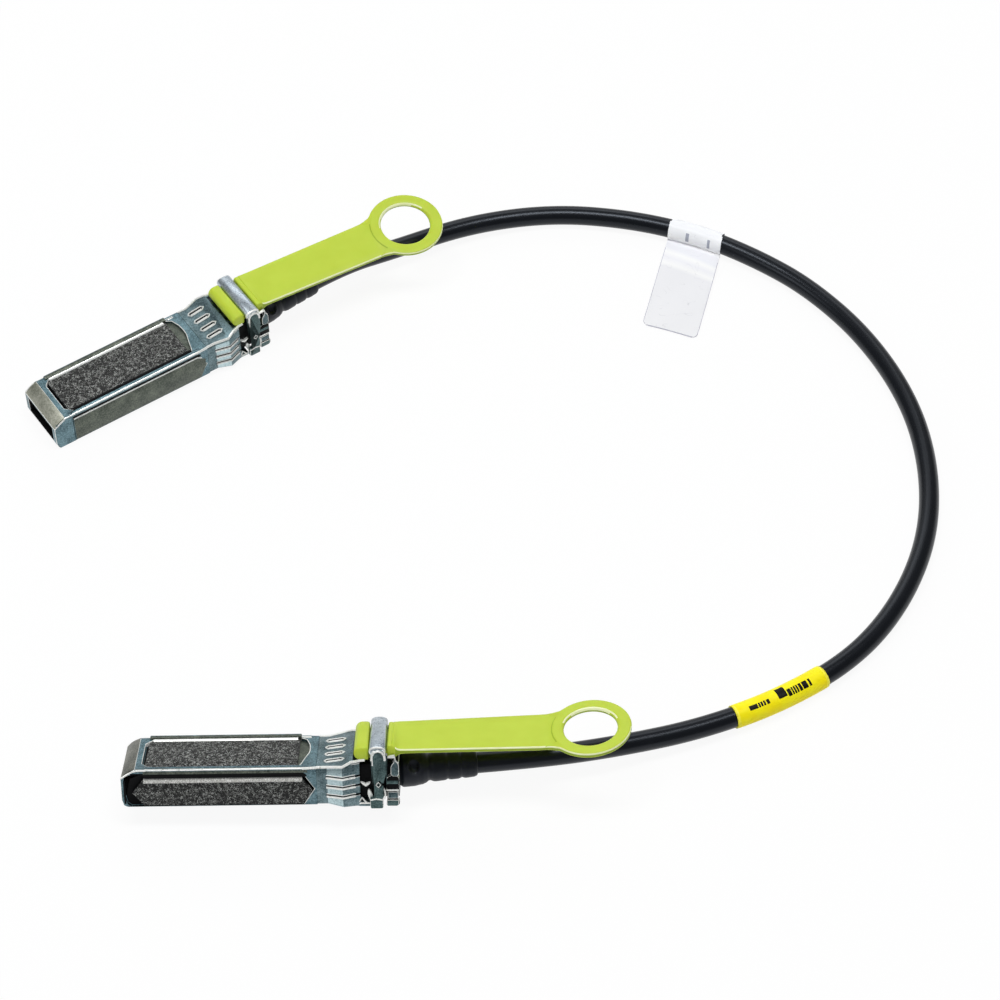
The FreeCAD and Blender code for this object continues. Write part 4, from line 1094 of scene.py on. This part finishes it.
def tab_rows():
    """Stations along the bead, slab, rib and strap: x, top, underside, half width."""
    rows = []
    for degrees in (0, 12, 26, 42, 60, 78, 90):
        angle = math.radians(degrees)
        lift = max(1.4 * math.sin(angle), 0.06)
        rows.append((48.1 - 1.4 * math.cos(angle), 11.05 + lift, 11.05 - lift,
                     5.0 + 0.25 * math.sin(angle)))
    rows += [(48.7, 12.45, 9.65, 5.25), (49.1, 12.44, 9.65, 5.25), (49.45, 12.34, 9.65, 5.2),
             (49.6, 12.1, 9.65, 5.1), (49.66, 10.9, 9.65, 5.0), (49.9, 10.72, 9.65, 5.0),
             (53.2, 10.72, 9.65, 5.0), (53.36, 10.9, 9.65, 5.0), (53.4, 12.05, 9.65, 5.0),
             (53.5, 12.3, 9.65, 5.0), (53.7, 12.4, 9.65, 5.0), (54.22, 12.4, 9.65, 5.0),
             (54.3, 12.3, 9.65, 5.0), (54.38, 12.28, 9.65, 5.0), (54.46, 12.36, 9.65, 5.0),
             (54.7, 12.33, 9.7, 5.0),
             (55.0, 12.18, 9.95, 5.0), (55.4, 12.05, 10.4, 5.0), (56.0, 11.98, 10.8, 5.0),
             (57.0, 11.95, 10.92, 5.0), (60.0, 11.95, 10.93, 5.0)]
    rows += [(x, 11.95, 10.95, 5.0) for x in (63.0, 66.0, 69.0, 72.0, 75.0, 78.0, 81.0, 83.5)]
    return rows


def build_tab(tag):
    """Bead, strap and finger ring in one moulding, with a painted highlight along its upper edge and
    painted shade on its sides.
    """
    mesh = bmesh.new()
    inset = (0.0, 0.07, 0.26)
    drop = (0.27, 0.09, 0.0)

    def across(half):
        near = half if half < 5.001 else half + 0.65
        spots = [(-near + inset[k], drop[k]) for k in range(3)]
        spots += [((half - 0.26) * c, 0.0) for c in (-0.6, -0.2, 0.2, 0.6)]
        spots += [(half - inset[k], drop[k]) for k in (2, 1, 0)]
        return spots

    def vertex(x, y, z):
        return mesh.verts.new(tab_spot(tag, x, y, z))

    def quad(corners, index):
        try:
            mesh.faces.new(corners).material_index = index
        except ValueError:
            pass

    # strip: top and underside rows
    tops, unders = [], []
    for x, top, under, half in tab_rows():
        ease = min(1.0, (top - under) / 0.9)
        tops.append([vertex(x, y, top - d * ease) for y, d in across(half)])
        unders.append([vertex(x, y, under + d * ease) for y, d in across(half)])
    cut = RING_X - math.sqrt((RING_OUT + NECK) ** 2 - (STRAP_HALF + NECK) ** 2)
    ring_top, ring_under = [], []

    # ring: rays from its centre to the hole, the step and the outer edge
    hole = (0.0, 0.17, 0.46, 1.10, 1.90, 2.35, 2.53, 2.66, 2.78, 2.83)
    lift = (0.10, 0.42, 0.63, 0.63, 0.63, 0.63, 0.60, 0.52, 0.40, 0.22)
    rays = [("cut", math.atan2(y, cut - RING_X), math.hypot(y, cut - RING_X), d)
            for y, d in across(STRAP_HALF)]
    centre_x, centre_y = cut - RING_X, STRAP_HALF + NECK
    blend = []
    first, last = math.radians(-90), math.atan2(-centre_y, -centre_x)
    for i in range(1, 7):
        angle = first + (last - first) * i / 6
        x, y = centre_x + NECK * math.cos(angle), centre_y + NECK * math.sin(angle)
        blend.append((math.atan2(y, x), math.hypot(x, y)))
    order = [("edge", angle, far, 0.0) for angle, far in reversed(blend)]
    lower = [("edge", -angle, far, 0.0) for angle, far in blend]
    touch = blend[-1][0]
    count = 52
    circle = [("edge", -touch + (2 * touch) * i / count, RING_OUT, 0.0) for i in range(1, count)]
    spokes = order + rays[::-1] + lower + circle
    for kind, angle, far, d in spokes:
        column, column_under = [], []
        over = min(max((far - RING_OUT) / 0.5, 0.0), 1.0)
        for k in range(10):
            r, h = RING_HOLE + hole[k], lift[k]
            edge = (0.5, 0.42, 0.24) if kind == "edge" else (0.5 - d * 0.2, 0.5 - d * 0.7, 0.5 - d)
            if k >= 7:
                wide = (far - 0.26, far - 0.07, far)[k - 7]
                r += (max(wide, RING_HOLE + hole[6] + 0.03 * (k - 6)) - r) * over
                h += (edge[k - 7] - h) * over
            elif k == 6:
                h += (0.46 - h) * over
            x, y = RING_X + r * math.cos(angle), r * math.sin(angle)
            column.append(vertex(x, y, STRAP_LEVEL + h))
            column_under.append(vertex(x, y, STRAP_LEVEL - h))
        ring_top.append(column)
        ring_under.append(column_under)

    # Upper edge lanes past STRAP_FLAT take the painted highlight.
    def edge_index(k, x=60.0):
        return 1 if x > STRAP_FLAT and k < 2 else 0

    places = [row[0] for row in tab_rows()]
    for lanes, flip in ((tops, 1), (unders, -1)):
        for near, far, x in zip(lanes, lanes[1:], places):
            for k in range(len(near) - 1):
                corners = (near[k], far[k], far[k + 1], near[k + 1])
                quad(corners[::flip], edge_index(k, x) if flip > 0 else 0)
    for near, far, low_near, low_far, x in zip(tops, tops[1:], unders, unders[1:], places):
        # Side walls past STRAP_FLAT take the painted shade.
        index = 2 if x > STRAP_FLAT else 0
        quad((near[0], low_near[0], low_far[0], far[0]), index)
        quad((near[-1], far[-1], low_far[-1], low_near[-1]), index)
    quad(list(tops[0]) + list(reversed(unders[0])), 0)
    # the strip's last row meets the ring's cut columns
    total = len(spokes)
    start = len(order)
    meet = ring_top[start:start + len(rays)][::-1]
    meet_under = ring_under[start:start + len(rays)][::-1]
    for k in range(len(rays) - 1):
        quad((tops[-1][k], meet[k][9], meet[k + 1][9], tops[-1][k + 1]), edge_index(k))
        quad((unders[-1][k + 1], meet_under[k + 1][9], meet_under[k][9], unders[-1][k]), 0)
    quad((tops[-1][0], unders[-1][0], meet_under[0][9], meet[0][9]), 2)
    quad((tops[-1][-1], meet[-1][9], meet_under[-1][9], unders[-1][-1]), 2)
    for i in range(total):
        near, far = ring_top[i], ring_top[(i + 1) % total]
        low_near, low_far = ring_under[i], ring_under[(i + 1) % total]
        kinds = (spokes[i][0], spokes[(i + 1) % total][0])
        inside = kinds == ("cut", "cut")
        for k in range(9):
            # Painted highlight on the hole's far rim and the ring's near outer rim; painted shade on a band
            # where the strap joins and on the hole's and ring's walls.
            lit = math.sin((spokes[i][1] + spokes[(i + 1) % total][1]) / 2)
            index = 1 if (k == 1 and lit > 0.3) or (k == 0 and lit > 0.7) else 0
            if k >= 7 and not inside and lit < -0.12:
                index = 1
            if inside and k == 5:
                index = 2
            quad((near[k], near[k + 1], far[k + 1], far[k]), index)
            quad((low_near[k], low_far[k], low_far[k + 1], low_near[k + 1]), 0)
        quad((near[0], far[0], low_far[0], low_near[0]), 2)
        if not inside:
            quad((near[9], low_near[9], low_far[9], far[9]), 2)
    bmesh.ops.remove_doubles(mesh, verts=mesh.verts, dist=0.002)
    bmesh.ops.recalc_face_normals(mesh, faces=mesh.faces)
    mesh.transform(PLUG[tag])
    made = bpy.data.meshes.new("lime_tab_" + tag)
    mesh.to_mesh(made)
    mesh.free()
    piece = add_piece("lime_tab_" + tag, made, LIME, LIME_HIGHLIGHT, LIME_SHADE)
    smooth(made, 48.0)
    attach(piece, "pull_" + tag)
    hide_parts("pull_tab_" + tag)


# ------------------------------------------------------------------ boot
BOOT_TURN = {"a": 8.0, "b": 2.0}
DIMPLE_X, DIMPLE_Z, DIMPLE_ROUND = 2.5, 1.9, 1.05
REAR = 55.6  # the plug's rear face, where the boot starts


def boot_radius(x):
    """Outline of the moulded boot: a block, then three soft ribs that grow thinner."""
    knots = [(-0.6, 3.2), (0.0, 3.3), (0.12, 3.6), (0.45, 3.74), (2.4, 3.72), (4.2, 3.5),
             (5.0, 3.24), (5.45, 2.94), (5.75, 2.76), (6.1, 2.86), (6.5, 3.06), (7.0, 3.12),
             (8.6, 3.06), (9.15, 2.98), (9.35, 2.8), (9.55, 2.78), (9.75, 2.94), (10.2, 3.0),
             (11.6, 2.96), (12.0, 2.84), (12.2, 2.68), (12.45, 2.7), (12.65, 2.86), (13.2, 2.92),
             (14.7, 2.84), (15.2, 2.7), (15.45, 2.52), (15.5, 2.3)]
    for (x0, r0), (x1, r1) in zip(knots, knots[1:]):
        if x <= x1:
            share = (x - x0) / (x1 - x0)
            share = share * share * (3 - 2 * share)
            return r0 + (r1 - r0) * share
    return 2.25


def build_boot(tag):
    form = Form()
    turn = math.radians(BOOT_TURN[tag])
    around = 72
    stations = [-0.6 + 0.23 * i for i in range(70)] + [15.46, 15.5]
    rings = []
    for x in stations:
        ring = []
        for k in range(around):
            angle = 2 * math.pi * k / around
            radius = boot_radius(x)
            gap = math.hypot(x - DIMPLE_X, radius * math.sin(angle) - DIMPLE_Z)
            if gap < DIMPLE_ROUND:
                radius -= 0.75 * (1 - (gap / DIMPLE_ROUND) ** 4)
            elif gap < 1.5:
                radius += 0.10 * math.sin(math.pi * (gap - DIMPLE_ROUND) / 0.45)
            y, z = radius * math.cos(angle), radius * math.sin(angle)
            ring.append(form.mesh.verts.new((REAR + x * math.cos(turn) - y * math.sin(turn),
                                             x * math.sin(turn) + y * math.cos(turn), MIDDLE + z)))
        rings.append(ring)
    for near, far in zip(rings, rings[1:]):
        for k in range(around):
            after = (k + 1) % around
            form.mesh.faces.new((near[k], near[after], far[after], far[k]))
    form.mesh.faces.new(rings[0])
    form.mesh.faces.new(rings[-1])
    piece = form.finish("soft_boot_" + tag, tag, "cable_set", [RUBBER])
    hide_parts("boot_" + tag)


# In the pieces below, the near-white edge metal is a painted highlight, the near-black a painted shade, and
# the side inlays and collar side panels take darker and lighter copies: painted shade and light.
for tag in "ab":
    dress("shell_" + tag, tag, [ZINC, PAINTED_HIGHLIGHT, NOSES[tag], PAINTED_SHADE], 0.5,
          shell_edges, shell_faces)
    nose_cap(tag)
    recess_finish(tag)
    flank_bands(tag)
    dress("top_pad_" + tag, tag, [PAD], 0.1)
    if tag == "a":
        dress("near_pad_" + tag, tag, [PAD_SHADE], 0.1)
    else:
        plain_flank(tag)
    dress("far_pad_" + tag, tag, [PAD_SHADE], 0.1)
    pad_ledge(tag)
    dress("spring_collar_" + tag, tag, [SPRING, PAINTED_HIGHLIGHT, SPRING_PAINTED_LIGHT, PAINTED_SHADE], 0.06,
          None, collar_faces, segments=1)
    collar_rims(tag)
    dress("rear_frame_" + tag, tag, [FRAME, PAINTED_HIGHLIGHT, PAINTED_SHADE], 0.14, None, frame_faces)
    latch_details(tag)
    bail = dress("bail_" + tag, tag, [BAIL, PAINTED_HIGHLIGHT, LEG_PAINTED_SHADE], 0.3, bail_edges,
                 bail_faces, "pull_" + tag)
    clear_legs(bail, tag)
    bail_roll(tag)
    build_tab(tag)
    build_boot(tag)
    dress("latch_lever_" + tag, tag, [FRAME, PAINTED_HIGHLIGHT], 0.08, body="latch_" + tag)
    dress("latch_pin_" + tag, tag, [PIN], 0.06)
    dress("contact_card_" + tag, tag, [BOARD], 0.04, segments=1)
    for row in ("upper_contacts_", "lower_contacts_"):
        dress(row + tag, tag, [GILT], 0.01, segments=1)


# ------------------------------------------------------------------ floor and light
def stage_paint():
    """White floor: it keeps the soft shadow, and shows plain white where nothing is."""
    paint = Paint("floor_white", (0.93, 0.93, 0.93, 1.0), 1.0, 0.0, Specular_IOR_Level=0.0)
    glow = paint.node("ShaderNodeEmission")
    glow.inputs["Color"].default_value = (1.0, 1.0, 1.0, 1.0)
    glow.inputs["Strength"].default_value = 1.0
    path = paint.node("ShaderNodeLightPath")
    mirrored = paint.sums("MAXIMUM", path.outputs["Is Glossy Ray"],
                          path.outputs["Is Transmission Ray"])
    seen = paint.sums("MAXIMUM", path.outputs["Is Camera Ray"], mirrored)
    share = paint.sums("MULTIPLY", seen, 0.92)
    mixed = paint.node("ShaderNodeMixShader")
    paint.link(share, mixed.inputs[0])
    paint.link(paint.shader.outputs[0], mixed.inputs[1])
    paint.link(glow.outputs[0], mixed.inputs[2])
    paint.link(mixed.outputs[0], paint.tree.nodes["Material Output"].inputs["Surface"])
    return paint.material


FLOOR_HALF, FLOOR_GAP = 3.0, 0.00005  # metres


def build_floor():
    form = bmesh.new()
    height = cad_box[0].z - FLOOR_GAP
    corners = ((-1, -1), (1, -1), (1, 1), (-1, 1))
    form.faces.new([form.verts.new((x * FLOOR_HALF, y * FLOOR_HALF, height)) for x, y in corners])
    mesh = bpy.data.meshes.new("floor")
    form.to_mesh(mesh)
    form.free()
    floor = add_piece("floor", mesh, stage_paint())


def lamp(name, spot, target, size, power):
    light = bpy.data.lights.new(name, "AREA")
    light.shape = "RECTANGLE"
    light.size, light.size_y = size
    light.energy = power
    item = bpy.data.objects.new(name, light)
    bpy.context.scene.collection.objects.link(item)
    item.location = spot
    item.rotation_euler = (Vector(target) - Vector(spot)).to_track_quat("-Z", "Y").to_euler()


build_floor()
world = bpy.data.worlds.new("studio")
world.use_nodes = True
world.node_tree.nodes["Background"].inputs["Color"].default_value = (0.95, 0.98, 1.0, 1.0)
world.node_tree.nodes["Background"].inputs["Strength"].default_value = 0.27
bpy.context.scene.world = world
loop_middle = (0.03, 0.0, 0.0)
lamp("soft_top", (0.03, -0.02, 0.95), loop_middle, (0.8, 0.2), 6.2)
lamp("soft_horizon", (0.0, 1.1, 0.4), loop_middle, (1.6, 0.8), 1.9)
lamp("soft_back", (0.0, 0.9, 0.75), loop_middle, (0.8, 0.4), 1.7)
lamp("soft_left", (-0.85, -0.35, 0.6), (0.0, 0.0, 0.0), (0.4, 0.4), 1.2)
